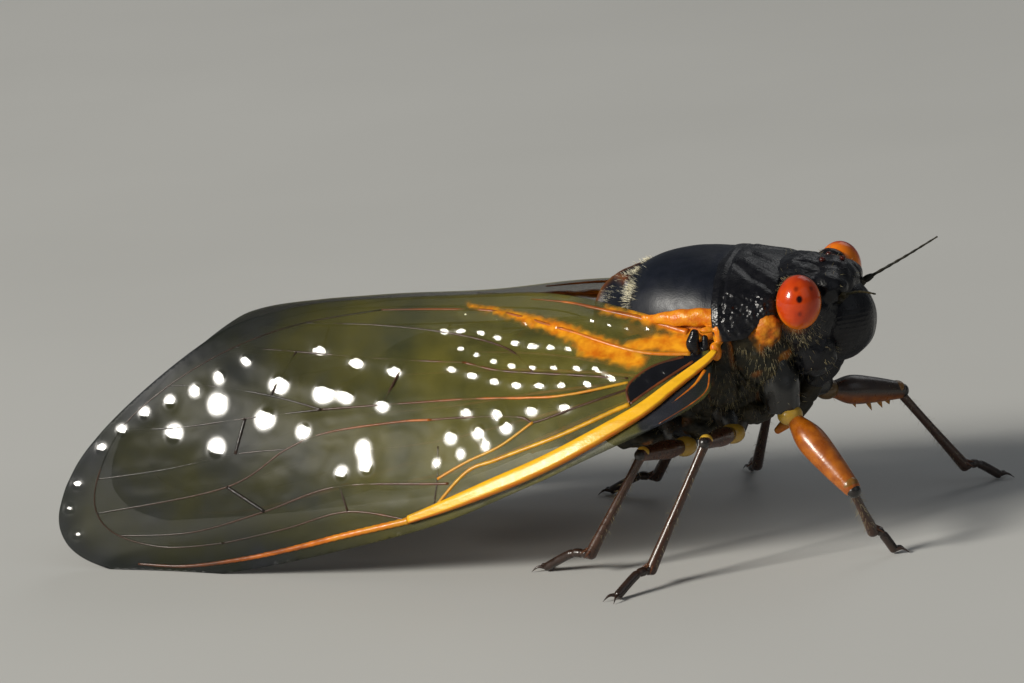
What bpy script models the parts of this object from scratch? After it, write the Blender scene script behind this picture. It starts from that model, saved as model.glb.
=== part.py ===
"""A life-size periodical cicada at rest, as a museum would show it.

The insect faces +X and stands on the floor at z = 0, on its six feet and on the lower edges of its
folded forewings. Sizes are in millimetres and become metres where a mesh is made. The body is drawn
in its own frame, whose origin is between the wing bases, and is then pitched and lifted over the feet.
"""

import math

import bmesh
import bpy
import numpy as np
from mathutils import Matrix, Vector
from mathutils.geometry import delaunay_2d_cdt

MM = 0.001
MODEL_NAME = "periodical_cicada"

# Driving sizes: the gap that neighbouring pieces keep, the distance at which points are one, the blunt
# end of a limb as shares of its radius, and how the body is held over the floor
GAP = 0.3
WELD = 0.001
BLUNT_LENGTH = 0.55
BLUNT_RADIUS = 0.6
BODY_HEIGHT = 9.7
BODY_PITCH = math.radians(3.0)

# Body: places along the body's own x axis, and the level where the back plates meet the flanks
HEAD_BACK = 2.85
HEAD_REACH = 6.0
PRONOTUM_FRONT = HEAD_BACK - GAP
PRONOTUM_BACK = -0.2
MESONOTUM_FRONT = PRONOTUM_BACK - GAP
MESONOTUM_BACK = -6.25
THORAX_BACK = -6.4
ABDOMEN_FRONT = THORAX_BACK - GAP
ABDOMEN_TIP = -21.6
FLANK_TOP = 0.3
PLATE_BASE = FLANK_TOP + GAP

# Head: the two compound eyes, the ridges on the face, and how far the head is rolled to its left
EYE_CENTRE = Vector((3.75, -3.78, 1.45))
EYE_RADII = Vector((0.98, 1.0, 1.2))
EYE_LEAN = math.radians(8.0)
FACE_RINGS = 22
HEAD_ROLL = math.radians(2.4)

# Wings: thickness, and how the folded blade is set
WING_THICKNESS = 0.5
WING_DROOP = math.radians(10.6)
WING_ARCH = 1.25
HINDWING_DEPTH = WING_THICKNESS + GAP + 0.25


def smooth(keys, t):
    """Values at t on a smooth curve through keys, a list of (t, value, ...) in rising order of t."""
    table = np.array(keys, float)
    at, values = table[:, 0], table[:, 1:]
    t = min(max(t, at[0]), at[-1])
    i = min(int(np.searchsorted(at, t, side="right")) - 1, len(at) - 2)
    i = max(i, 0)
    slopes = np.gradient(values, at, axis=0)
    span = at[i + 1] - at[i]
    u = (t - at[i]) / span
    a = (1 + 2 * u) * (1 - u) ** 2
    b = u * (1 - u) ** 2
    c = u * u * (3 - 2 * u)
    d = u * u * (u - 1)
    return a * values[i] + b * span * slopes[i] + c * values[i + 1] + d * span * slopes[i + 1]


def ramp(x, low, high):
    """0 below low, 1 above high, and a smooth step between them."""
    u = min(max((x - low) / (high - low), 0.0), 1.0)
    return u * u * (3 - 2 * u)


def segment_distance(point, start, end):
    """How far a point of the plane is from a straight segment."""
    p, a, b = (np.array(v, float) for v in (point, start, end))
    along = b - a
    u = min(max(float((p - a) @ along) / float(along @ along), 0.0), 1.0)
    return float(np.linalg.norm(p - a - u * along))


def material(name, colour, roughness, metallic=0.0, alpha=1.0):
    made = bpy.data.materials.new(name)
    made.use_nodes = True
    shader = made.node_tree.nodes["Principled BSDF"]
    shader.inputs["Base Color"].default_value = (*colour, 1.0)
    shader.inputs["Roughness"].default_value = roughness
    shader.inputs["Metallic"].default_value = metallic
    shader.inputs["Alpha"].default_value = alpha
    return made


def collection(name):
    """The collection of that name, made the first time it is asked for."""
    found = bpy.data.collections.get(name)
    if found is None:
        found = bpy.data.collections.new(name)
        bpy.context.scene.collection.children.link(found)
    return found


def closed_mesh(name, piece, frame=None):
    """A mesh object in metres from points and faces in millimetres, placed by frame."""
    points, faces = piece
    mesh = bpy.data.meshes.new(name)
    mesh.from_pydata([tuple(Vector(p) * MM) for p in points], [], faces)
    tidy = bmesh.new()
    tidy.from_mesh(mesh)
    bmesh.ops.recalc_face_normals(tidy, faces=tidy.faces)
    tidy.to_mesh(mesh)
    tidy.free()
    if frame is not None:
        mesh.transform(frame)
    return bpy.data.objects.new(name, mesh)


def add_object(name, piece, finish, frame=None):
    """A named part of the insect."""
    made = closed_mesh(name, piece, frame)
    made.data.materials.append(finish)
    collection(MODEL_NAME).objects.link(made)
    return made


def cutter(piece, frame=None):
    """A helper shape that is joined to a part or cut from it."""
    made = closed_mesh("cutter", piece, frame)
    made.hide_render = True
    made.display_type = "WIRE"
    collection("cutters").objects.link(made)
    return made


def body_frame():
    """Body frame to floor frame, with the shift in metres."""
    lift = Matrix.Translation(Vector((0.0, 0.0, BODY_HEIGHT)) * MM)
    return lift @ Matrix.Rotation(-BODY_PITCH, 4, "Y")


def head_frame():
    """The head's own frame, rolled a little to the left on the body."""
    return body_frame() @ Matrix.Rotation(-HEAD_ROLL, 4, "X")


def on_floor(point):
    """A body point, in millimetres, in the floor frame."""
    return body_frame() @ (Vector(point) * MM) / MM


def loft(rings):
    """Points and faces of a closed form through rings of equal length, with a fan at each end."""
    count = len(rings[0])
    points = [p for ring in rings for p in ring]
    faces = []
    for i in range(len(rings) - 1):
        for j in range(count):
            k = (j + 1) % count
            faces.append((i * count + j, i * count + k, (i + 1) * count + k, (i + 1) * count + j))
    for ring_start in (0, (len(rings) - 1) * count):
        centre = len(points)
        points.append(tuple(np.mean(points[ring_start : ring_start + count], axis=0)))
        faces += [(ring_start + j, ring_start + (j + 1) % count, centre) for j in range(count)]
    return points, faces


def arch_ring(x, half_width, base, crown, power, steps, relief=None):
    """A ring across the body: a round arch from base to crown, closed by a flat base."""
    ring = []
    for k in range(steps + 1):
        turn = math.pi * k / steps
        c, s = math.cos(turn), math.sin(turn)
        y = half_width * math.copysign(abs(c) ** (2 / power), c)
        z = base + (crown - base) * abs(s) ** (2 / power)
        if relief is not None and 0 < k < steps:
            rise = relief(x, y)
            y += rise * c
            z += rise * s
        ring.append((x, y, z))
    return ring


def oval_ring(x, half_width, top, bottom, steps, power=2.0):
    """A closed oval ring across the body."""
    middle = (top + bottom) / 2
    ring = []
    for k in range(steps):
        turn = 2 * math.pi * k / steps
        c, s = math.cos(turn), math.sin(turn)
        y = half_width * math.copysign(abs(c) ** (2 / power), c)
        z = middle + (top - bottom) / 2 * math.copysign(abs(s) ** (2 / power), s)
        ring.append((x, y, z))
    return ring


def piece_of(shape, frame):
    """Points and faces of a bmesh, placed by frame, and the bmesh is freed."""
    shape.transform(frame)
    shape.verts.index_update()
    points = [v.co.copy() for v in shape.verts]
    faces = [tuple(v.index for v in face.verts) for face in shape.faces]
    shape.free()
    return points, faces


def ellipsoid(centre, radii, rings=10, sides=14, turn=None, relief=None):
    """A stretched sphere whose poles lie along z, turned by a matrix."""
    shape = bmesh.new()
    bmesh.ops.create_uvsphere(shape, u_segments=sides, v_segments=rings, radius=1.0)
    for vertex in shape.verts:
        rise = 1.0 if relief is None else relief(vertex.co)
        vertex.co = Vector([rise * at * radius for at, radius in zip(vertex.co, radii)])
    frame = Matrix.Translation(centre)
    if turn is not None:
        frame = frame @ turn.to_4x4()
    return piece_of(shape, frame)


def cone(base, tip, radius, sides=4):
    """A spine with its root at base."""
    along = Vector(tip) - Vector(base)
    shape = bmesh.new()
    bmesh.ops.create_cone(
        shape, cap_ends=True, segments=sides, radius1=radius, radius2=0.0, depth=along.length
    )
    bmesh.ops.remove_doubles(shape, verts=shape.verts, dist=WELD)
    middle = Matrix.Translation(Vector(base) + along / 2)
    return piece_of(shape, middle @ along.to_track_quat("Z", "Y").to_matrix().to_4x4())


def box_piece(low, high, frame=None):
    """A box between two corners."""
    low, high = Vector(low), Vector(high)
    shape = bmesh.new()
    bmesh.ops.create_cube(shape, size=1.0)
    place = Matrix.Translation((low + high) / 2) @ Matrix.Diagonal(high - low).to_4x4()
    return piece_of(shape, place if frame is None else frame @ place)


def tube(path, radii, sides):
    """A round limb along a path: a bevelled curve with blunt ends, as a mesh with its caps welded."""
    path = [Vector(p) for p in path]
    first, last = (path[0] - path[1]).normalized(), (path[-1] - path[-2]).normalized()
    stations = [(path[0] + first * radii[0] * BLUNT_LENGTH, radii[0] * BLUNT_RADIUS)]
    stations += list(zip(path, radii))
    stations.append((path[-1] + last * radii[-1] * BLUNT_LENGTH, radii[-1] * BLUNT_RADIUS))
    line = bpy.data.curves.new("limb", "CURVE")
    line.dimensions = "3D"
    line.bevel_depth = 1.0
    line.bevel_resolution = sides // 2 - 2
    line.use_fill_caps = True
    spline = line.splines.new("POLY")
    spline.points.add(len(stations) - 1)
    for point, (centre, radius) in zip(spline.points, stations):
        point.co = (*centre, 1.0)
        point.radius = radius
    limb = bpy.data.objects.new("limb", line)
    collection("cutters").objects.link(limb)
    graph = bpy.context.evaluated_depsgraph_get()
    mesh = bpy.data.meshes.new_from_object(limb.evaluated_get(graph))
    shape = bmesh.new()
    shape.from_mesh(mesh)
    bmesh.ops.remove_doubles(shape, verts=shape.verts, dist=WELD)
    frame = limb.matrix_world.copy()
    bpy.data.meshes.remove(mesh)
    bpy.data.objects.remove(limb)
    bpy.data.curves.remove(line)
    return piece_of(shape, frame)


def keep_largest(target):
    """Drops every loose surface of the mesh but the one with most area."""
    shape = bmesh.new()
    shape.from_mesh(target.data)
    shape.faces.ensure_lookup_table()
    unseen, islands = set(shape.faces), []
    while unseen:
        stack, island = [unseen.pop()], []
        while stack:
            face = stack.pop()
            island.append(face)
            for edge in face.edges:
                near = [f for f in edge.link_faces if f in unseen]
                unseen.difference_update(near)
                stack.extend(near)
        islands.append(island)
    islands.sort(key=lambda found: sum(f.calc_area() for f in found))
    dropped = [f for island in islands[:-1] for f in island]
    bmesh.ops.delete(shape, geom=dropped, context="FACES")
    bmesh.ops.triangulate(shape, faces=shape.faces)
    bmesh.ops.dissolve_degenerate(shape, dist=2e-6, edges=shape.edges)
    bmesh.ops.triangulate(shape, faces=shape.faces)
    shape.to_mesh(target.data)
    shape.free()


def apply_boolean(target, operation, others):
    """Joins or cuts target with all the cutters in one Boolean, and removes them."""
    step = target.modifiers.new("join or cut", "BOOLEAN")
    step.operation = operation
    step.operand_type = "COLLECTION"
    step.collection = collection("cutters")
    graph = bpy.context.evaluated_depsgraph_get()
    result = bpy.data.meshes.new_from_object(target.evaluated_get(graph))
    target.modifiers.clear()
    old, target.data = target.data, result
    bpy.data.meshes.remove(old)
    for other in others:
        bpy.data.objects.remove(other)
    keep_largest(target)
    return target


def fuse(name, pieces, finish, frame=None):
    """One closed node from overlapping pieces, each a pair of points and faces."""
    made = add_object(name, pieces[0], finish, frame)
    if len(pieces) > 1:
        apply_boolean(made, "UNION", [cutter(piece, frame) for piece in pieces[1:]])
    return made


def flatten_on_floor(target):
    """Presses whatever reaches below the floor up to it, which leaves small flats to stand on."""
    for vertex in target.data.vertices:
        vertex.co.z = max(vertex.co.z, 0.0)


# Thorax and abdomen


PRONOTUM_KEYS = [
    # x, half width, crown
    (PRONOTUM_BACK, 4.4, 3.3),
    (0.25, 4.55, 3.38),
    (0.9, 4.4, 3.32),
    (1.7, 4.1, 3.12),
    (PRONOTUM_FRONT, 3.7, 2.78),
]
MESONOTUM_KEYS = [
    (MESONOTUM_BACK, 0.75, 1.7),
    (-6.05, 1.2, 2.1),
    (-5.4, 1.8, 2.45),
    (-4.6, 2.45, 2.88),
    (-3.4, 3.1, 3.4),
    (-2.0, 3.55, 3.6),
    (MESONOTUM_FRONT, 3.85, 3.48),
]
THORAX_KEYS = [
    # x, half width, lowest level
    (THORAX_BACK, 2.75, -4.2),
    (-5.0, 2.95, -4.45),
    (-3.2, 3.15, -4.45),
    (-1.4, 3.55, -4.3),
    (0.2, 3.95, -3.7),
    (1.5, 3.75, -2.7),
    (PRONOTUM_FRONT, 3.3, -1.9),
]
ABDOMEN_KEYS = [
    # x, half width, top, bottom
    (ABDOMEN_TIP, 0.45, -2.75, -3.45),
    (-21.2, 1.05, -2.3, -3.85),
    (-20.2, 1.6, -1.75, -4.25),
    (-18.0, 2.35, -1.0, -4.75),
    (-15.0, 2.85, -0.3, -5.05),
    (-12.0, 3.1, 0.2, -5.05),
    (-9.0, 3.15, 0.5, -4.8),
    (ABDOMEN_FRONT, 2.8, 0.6, -4.2),
]
ABDOMEN_JOINTS = [-8.3, -10.3, -12.3, -14.3, -16.2, -17.9, -19.3]


def groove(point, start, end, depth, width):
    """A rounded furrow along a segment on a back plate."""
    return -depth * math.exp(-((segment_distance(point, start, end) / width) ** 2))


def pronotum_relief(x, y):
    """The collar at the back and the slanting furrows between the lobes."""
    across = abs(y)
    rise = 0.16 * ramp(-x, -0.35, -0.05)
    rise += groove((x, across), (2.1, 0.9), (0.75, 2.3), 0.24, 0.36)
    rise += groove((x, across), (2.2, 2.35), (0.8, 3.75), 0.26, 0.36)
    return rise


def mesonotum_relief(x, y):
    """The cross-shaped rise on the scutellum."""
    across = abs(y)
    arms = min(
        segment_distance((x, across), (-5.35, 0.0), (-4.55, 1.25)),
        segment_distance((x, across), (-5.35, 0.0), (-6.1, 0.9)),
    )
    return 0.24 * math.exp(-((arms / 0.36) ** 2))


def plate(name, keys, stations, steps, relief, finish):
    """A back plate: an arched form with a flat base that sits over the flanks."""
    rings = []
    for x in stations:
        half_width, crown = smooth(keys, x)
        rings.append(arch_ring(x, half_width, PLATE_BASE, crown, 2.2, steps, relief))
    return add_object(name, loft(rings), finish, body_frame())


def thorax_piece(grow=0.0):
    """The flanks and the underside of the thorax, flat on top; grow swells it for cutting its neighbours."""
    rings = []
    for x in np.linspace(THORAX_BACK - grow, PRONOTUM_FRONT + grow, 13):
        half_width, low = smooth(THORAX_KEYS, x)
        ring = arch_ring(float(x), half_width + grow, -FLANK_TOP - grow, -low + grow, 2.3, 22)
        rings.append([(px, py, -pz) for px, py, pz in ring])
    return loft(rings)


def abdomen_piece(grow=0.0):
    """The abdomen, with a step at the hind edge of each segment."""
    stations = {ABDOMEN_FRONT: 0.0, ABDOMEN_TIP: -0.05, -21.2: 0.0, -20.3: 0.02}
    for x in ABDOMEN_JOINTS:
        stations[x + 0.12] = 0.08
        stations[x - 0.1] = -0.1
    rings = []
    for x in sorted(stations):
        half_width, top, bottom = smooth(ABDOMEN_KEYS, x)
        step = stations[x] + grow
        rings.append(oval_ring(x, half_width + step, top + step, bottom - step, 28, 2.15))
    return loft(rings)


# Head


def face_relief(unit):
    """Cross ridges on both sides of the swollen face, which fade at its smooth middle line."""
    ring = round(math.acos(min(max(unit.z, -1.0), 1.0)) / math.pi * FACE_RINGS)
    ridge = 0.04 if ring % 2 else -0.03
    return 1.0 + ridge * ramp(abs(unit.y), 0.12, 0.4) * ramp(unit.x, -0.2, 0.2)


def head_pieces(grow=0.0):
    """The head capsule with its swollen ridged face, cheeks, brows, simple eyes and lower face."""
    swell = Vector((grow, grow, grow))
    face = [(3.7, 0, -1.3), (3.35, 0, -2.1), (3.0, 0, -2.7)]
    pieces = [
        ellipsoid((3.1, 0, 0.55), Vector((2.05, 3.45, 2.45)) + swell, 14, 26),
        ellipsoid((4.25, 0, -0.05), Vector((1.9, 1.72, 1.95)) + swell, FACE_RINGS, 20, None, face_relief),
        ellipsoid((4.25, 0, 1.4), Vector((1.3, 1.7, 1.35)) + swell, 10, 16),
        tube(face, [1.0 + grow, 0.85 + grow, 0.55 + grow], 12),
        ellipsoid((4.85, 0, 2.45), Vector((0.28, 0.28, 0.26)) + swell, 6, 8),
    ]
    for side in (-1, 1):
        pieces += [
            ellipsoid((4.5, side * 1.4, 1.5), Vector((0.9, 0.9, 0.8)) + swell, 10, 14),
            ellipsoid((3.5, side * 1.7, -1.1), Vector((1.15, 1.05, 1.2)) + swell, 8, 12),
            ellipsoid((3.6, side * 3.05, 1.35), Vector((0.95, 0.75, 1.2)) + swell, 8, 12),
            ellipsoid((4.1, side * 0.62, 2.62), Vector((0.26, 0.26, 0.26)) + swell, 6, 8),
        ]
    return pieces


def eye_piece(side, grow=0.0):
    """One compound eye, leaning a little forward. side is -1 for the right one."""
    centre = Vector((EYE_CENTRE.x, -side * EYE_CENTRE.y, EYE_CENTRE.z))
    radii = EYE_RADII + Vector((grow, grow, grow))
    return ellipsoid(centre, radii, 12, 18, Matrix.Rotation(EYE_LEAN, 3, "Y"))


def build_head(finish, eye_finish):
    frame = head_frame()
    head = fuse("head", head_pieces(), finish, frame)
    reach = HEAD_REACH
    behind = box_piece((HEAD_BACK - reach, -reach, -reach), (HEAD_BACK, reach, reach))
    cutters = [cutter(behind, body_frame())] + [cutter(eye_piece(s, GAP), frame) for s in (-1, 1)]
    apply_boolean(head, "DIFFERENCE", cutters)
    for side, name in ((-1, "eye_right"), (1, "eye_left")):
        add_object(name, eye_piece(side), eye_finish, frame)


def grown_head(grow=GAP + 0.06):
    """The head swollen by a little more than the gap, for cutting what meets it."""
    return [cutter(piece, head_frame()) for piece in head_pieces(grow)]


ANTENNA_PATHS = {
    "antenna_left": [(5.1, 1.5, 1.0), (5.9, 1.8, 1.35), (7.3, 2.15, 1.95), (8.7, 2.5, 2.6)],
    "antenna_right": [(5.1, -1.6, 1.2), (5.6, -2.15, 1.45), (6.4, -3.05, 1.7), (7.25, -3.95, 1.75)],
}


def build_feelers(finish):
    """The bristle-like antennae and the beak, each starting a gap away from the head."""
    for name, path in ANTENNA_PATHS.items():
        feeler = fuse(name, [tube(path, [0.34, 0.27, 0.2, 0.1], 8)], finish, body_frame())
        apply_boolean(feeler, "DIFFERENCE", grown_head())
    beak_path = [(3.0, 0, -2.7), (2.4, 0, -3.6), (1.7, 0, -4.4), (0.9, 0, -5.0)]
    beak = fuse("beak", [tube(beak_path, [0.52, 0.46, 0.38, 0.26], 10)], finish, body_frame())
    apply_boolean(beak, "DIFFERENCE", grown_head(GAP + 0.16) + [cutter(thorax_piece(GAP), body_frame())])


# Wings


WING_OUTLINE = [
    # p along the wing from its root, q across it, towards the inner edge
    (0.2, -0.6),
    (1.6, -2.0),
    (3.5, -3.15),
    (8.7, -4.5),
    (15.4, -4.7),
    (27.5, -3.75),
    (31.7, -2.2),
    (33.1, -0.35),
    (32.1, 1.75),
    (29.5, 3.75),
    (24.25, 6.3),
    (21.9, 7.05),
    (19.1, 7.25),
    (16.5, 6.95),
    (9.6, 5.6),
    (6.4, 4.45),
    (3.3, 2.25),
    (0.5, 0.6),
]
HINDWING_OUTLINE = [
    (1.9, -0.95),
    (6.0, -1.85),
    (11.0, -2.7),
    (15.5, -2.5),
    (18.6, -1.3),
    (19.7, 0.6),
    (18.6, 2.6),
    (15.5, 4.0),
    (11.5, 4.1),
    (8.0, 2.9),
    (5.0, 1.45),
    (2.3, 0.25),
]
# The front vein up to the wing's break, and the line that runs inside the tip's edge
COSTA = [(0.5, -0.7), (1.8, -1.6), (3.5, -2.6), (6.0, -3.42), (8.6, -3.95), (11.3, -4.15), (15.3, -4.2)]
BORDER = [(25.0, -2.7), (28.0, -2.2), (30.2, -1.15), (31.0, 0.1), (30.5, 1.6), (28.7, 3.5), (25.9, 4.85)]
BORDER += [(22.5, 5.85), (19.2, 6.3), (15.6, 6.1)]
FRONT_EDGE = [COSTA[-1], (18.8, -3.95), (21.5, -3.8), (24.3, -3.6), (27.3, -3.25), (29.7, -2.6)]
MEDIA = [(4.1, -1.5), (7.1, -1.75), (8.5, -1.86), (9.15, -1.46), (12.0, -0.65), (13.4, -0.3)]
MEDIA_FRONT = [MEDIA[-1], (15.0, 0.1), (18.4, 0.6), (20.6, 0.45), (24.0, -0.35), BORDER[3]]
MEDIA_BACK = [(3.9, -0.9), (6.6, -0.96), (8.7, -0.64), (12.4, 0.33), (15.6, 1.1), (18.6, 1.75)]
# Each vein: its points (p, q), half its width and its height
FOREWING_VEINS = {
    "costa": (COSTA, 0.4, 0.42),
    "front_edge": (FRONT_EDGE, 0.22, 0.2),
    "cell_front": ([(1.1, -0.35), (2.4, -1.1), (3.9, -2.0)], 0.24, 0.22),
    "cell_back": ([(1.1, 0.0), (2.5, -0.3), (3.8, -0.8), (3.9, -2.0)], 0.24, 0.22),
    "radius": ([(3.9, -2.0), (7.2, -2.75), (10.3, -3.03), (12.0, -3.1), (14.0, -4.1)], 0.24, 0.24),
    "radial_sector": ([(13.0, -3.4), (18.3, -1.9), (22.4, -1.9), (26.5, -1.85), BORDER[2]], 0.22, 0.2),
    "second_radius": ([COSTA[-1], (18.2, -3.05), (21.5, -2.9), BORDER[0]], 0.2, 0.18),
    "media": (MEDIA, 0.2, 0.2),
    "media_front": (MEDIA_FRONT, 0.2, 0.18),
    "media_second": ([(20.6, 0.45), (23.2, 0.95), (27.0, 1.2), BORDER[4]], 0.2, 0.18),
    "media_back": (MEDIA_BACK, 0.2, 0.2),
    "media_third": ([(18.6, 1.75), (22.4, 2.4), (26.0, 2.9), BORDER[5]], 0.2, 0.18),
    "media_fourth": ([(18.6, 1.75), (21.0, 3.1), (23.8, 4.3), BORDER[6]], 0.2, 0.18),
    "cubitus": ([(3.9, -0.75), (6.5, 0.0), (8.3, 0.52), (10.1, 1.15), (11.6, 2.0)], 0.22, 0.22),
    "cubitus_front": ([(11.6, 2.0), (15.5, 3.4), (19.6, 4.9), BORDER[7]], 0.2, 0.18),
    "cubitus_back": ([(8.3, 0.52), (9.6, 2.2), (12.4, 3.9), (15.8, 5.3), BORDER[8]], 0.2, 0.18),
    "claval": ([(1.1, 0.0), (3.6, 0.65), (6.9, 2.6), (10.1, 4.5), (12.6, 5.35), BORDER[9]], 0.26, 0.24),
    "anal": ([(1.4, 0.8), (3.2, 1.6), (4.9, 2.6), (6.6, 3.75), (8.4, 4.6)], 0.2, 0.2),
    "border": (BORDER, 0.2, 0.18),
    "cross_radial": ([(18.2, -3.05), (18.3, -1.9)], 0.18, 0.16),
    "cross_w_front": ([(22.4, -1.9), (24.0, -0.35)], 0.22, 0.18),
    "cross_w_back": ([(23.2, 0.95), (22.4, 2.4)], 0.22, 0.18),
    "cross_middle": ([(15.6, 1.1), (14.4, 2.9)], 0.18, 0.16),
    "cross_cubital": ([(21.0, 3.1), (19.6, 4.9)], 0.18, 0.16),
}
HINDWING_VEINS = {
    "costa": ([(2.4, -0.8), (6.0, -1.55), (11.0, -2.35), (15.4, -2.15)], 0.24, 0.2),
    "radius": ([(2.4, -0.4), (7.0, -0.9), (12.5, -0.9), (17.6, -0.2)], 0.2, 0.16),
    "media": ([(2.4, -0.4), (7.5, 0.1), (12.5, 0.6), (17.4, 1.5)], 0.2, 0.16),
    "cubitus": ([(2.4, -0.4), (6.0, 0.7), (10.5, 1.9), (15.2, 2.9)], 0.2, 0.16),
    "anal": ([(2.4, -0.4), (5.0, 0.9), (8.2, 2.2), (11.6, 3.2)], 0.2, 0.16),
}
WING_SET = [
    # p, y of the wing's own axis, lean of the blade from upright in degrees, share of the arch
    (0.0, -4.62, 50.0, 0.0),
    (5.0, -4.6, 50.0, 0.7),
    (10.0, -4.25, 47.0, 1.0),
    (15.0, -4.25, 37.5, 1.0),
    (19.0, -4.15, 31.0, 0.95),
    (23.5, -3.85, 21.0, 0.75),
    (28.2, -3.4, 13.0, 0.5),
    (33.2, -3.1, 9.0, 0.3),
]


def wing_point(p, q, lift):
    """A point of the right wing: p along it, q across it and lift out of it, in the body frame."""
    axis_y, lean, share = smooth(WING_SET, p)
    lean = math.radians(lean)
    along = Vector((-math.cos(WING_DROOP), 0, -math.sin(WING_DROOP)))
    up = Vector((-math.sin(WING_DROOP), 0, math.cos(WING_DROOP)))
    sideways = Vector((0, 1, 0))
    across = sideways * math.sin(lean) + up * math.cos(lean)
    outward = up * math.sin(lean) - sideways * math.cos(lean)
    arch = WING_ARCH * share * (1 - ((q - 1.4) / 5.9) ** 2)
    return Vector((0, axis_y, 0)) + along * p + across * q + outward * (lift + arch)


def curve_points(points, spacing, closed=False):
    """Evenly spaced points on a smooth curve through points."""
    count = len(points)
    dense = []
    for i in range(count if closed else count - 1):
        span = []
        for step in (-1, 0, 1, 2):
            index = i + step
            index = index % count if closed else min(max(index, 0), count - 1)
            span.append(np.array(points[index], float))
        for u in np.linspace(0, 1, 24, endpoint=False):
            dense.append(
                0.5
                * (
                    2 * span[1]
                    + (span[2] - span[0]) * u
                    + (2 * span[0] - 5 * span[1] + 4 * span[2] - span[3]) * u**2
                    + (3 * span[1] - span[0] - 3 * span[2] + span[3]) * u**3
                )
            )
    dense.append(np.array(points[0 if closed else -1], float))
    dense = np.array(dense)
    travel = np.concatenate([[0], np.cumsum(np.linalg.norm(np.diff(dense, axis=0), axis=1))])
    pieces = max(1, round(travel[-1] / spacing))
    at = np.linspace(0, travel[-1], pieces + 1)
    made = np.stack([np.interp(at, travel, dense[:, k]) for k in range(dense.shape[1])], axis=1)
    return made[:-1] if closed else made


def polyline_distance(points, line):
    """Distance from each point to the nearest segment of a line, all in the wing's plane."""
    starts, along = line[:-1], np.diff(line, axis=0)
    offset = points[:, None] - starts[None]
    u = np.clip((offset * along).sum(2) / (along**2).sum(1), 0, 1)
    return np.linalg.norm(offset - u[..., None] * along[None], axis=2).min(1)


def inside(points, outline):
    """Which points of the plane are inside a closed outline."""
    x, y = points[:, 0, None], points[:, 1, None]
    a, b = outline, np.roll(outline, -1, axis=0)
    crossing = (a[:, 1] > y) != (b[:, 1] > y)
    rise = np.where(b[:, 1] == a[:, 1], 1e-9, b[:, 1] - a[:, 1])
    return (crossing & (x < (b[:, 0] - a[:, 0]) * (y - a[:, 1]) / rise + a[:, 0])).sum(1) % 2 == 1


def wing_sheet(outline, veins, spacing, grid):
    """The flat pattern of a wing: points, ridge heights and triangles that follow the veins."""
    edge = curve_points(outline, spacing, closed=True)
    points = [tuple(p) for p in edge]
    links = [(i, (i + 1) % len(edge)) for i in range(len(edge))]
    lines = []
    for path, half_width, height in veins.values():
        line = curve_points(path, spacing)
        lines.append((line, half_width, height))
        normal = np.gradient(line, axis=0)[:, ::-1] * (1, -1)
        normal /= np.linalg.norm(normal, axis=1)[:, None]
        for shift in (-half_width, 0.0, half_width):
            kept = line + normal * shift
            kept = kept[inside(kept, edge) & (polyline_distance(kept, np.vstack([edge, edge[:1]])) > 0.12)]
            links += [(len(points) + i, len(points) + i + 1) for i in range(len(kept) - 1)]
            points += [tuple(p) for p in kept]
    low, high = edge.min(0), edge.max(0)
    across = np.arange(low[1], high[1], grid)
    field = np.array([(x, y) for x in np.arange(low[0], high[0], grid) for y in across])
    clear = inside(field, edge) & (polyline_distance(field, np.vstack([edge, edge[:1]])) > 0.7)
    for line, half_width, _ in lines:
        clear &= polyline_distance(field, line) > half_width + 0.55
    points += [tuple(p) for p in field[clear]]
    border = [list(range(len(edge)))]
    found, _, triangles, *_ = delaunay_2d_cdt([Vector(p) for p in points], links, border, 1, 0.04, False)
    found = np.array([tuple(v) for v in found])
    heights = np.zeros(len(found))
    for line, half_width, height in lines:
        away = polyline_distance(found, line)
        heights = np.maximum(heights, height * np.clip(1 - away / half_width, 0, 1))
    return found, heights, triangles


def wing_solid(sheet, depth, side, grow=0.0):
    """Points and faces of a wing: the outer face with its raised veins, the inner face and the rim."""
    flat, heights, triangles = sheet
    count, half = len(flat), WING_THICKNESS / 2 + grow
    outer = [wing_point(p, q, half - depth + h) for (p, q), h in zip(flat, heights)]
    inner = [wing_point(p, q, -half - depth) for p, q in flat]
    points = [Vector((v.x, -side * v.y, v.z)) for v in outer + inner]
    faces = [tuple(t) for t in triangles] + [tuple(count + i for i in reversed(t)) for t in triangles]
    sides = {}
    for t in triangles:
        for a, b in zip(t, (*t[1:], t[0])):
            sides[(a, b)] = sides.get((a, b), 0) + 1
    rim = [(a, b) for a, b in sides if (b, a) not in sides]
    faces += [(b, a, count + a, count + b) for a, b in rim]
    return points, faces


def grown_wings(outline, depth):
    """Both wings of a pair, swollen by the gap all round, for cutting the body under them."""
    edge = curve_points(outline, 1.6, closed=True)
    normal = (np.roll(edge, -1, axis=0) - np.roll(edge, 1, axis=0))[:, ::-1] * (1, -1)
    normal /= np.linalg.norm(normal, axis=1)[:, None]
    wider = edge + normal * GAP
    if inside(wider, edge).mean() > 0.5:
        wider = edge - normal * GAP
    sheet = wing_sheet([tuple(p) for p in wider], {}, 1.6, 1.8)
    return [cutter(wing_solid(sheet, depth, side, GAP + 0.05), body_frame()) for side in (-1, 1)]


def build_wings(fore_finish, hind_finish):
    fore = wing_sheet(WING_OUTLINE, FOREWING_VEINS, 1.9, 2.4)
    hind = wing_sheet(HINDWING_OUTLINE, HINDWING_VEINS, 2.2, 2.4)
    for side, word in ((-1, "right"), (1, "left")):
        forewing = add_object(f"forewing_{word}", wing_solid(fore, 0.0, side), fore_finish, body_frame())
        flatten_on_floor(forewing)
        add_object(f"hindwing_{word}", wing_solid(hind, HINDWING_DEPTH, side), hind_finish, body_frame())


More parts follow.
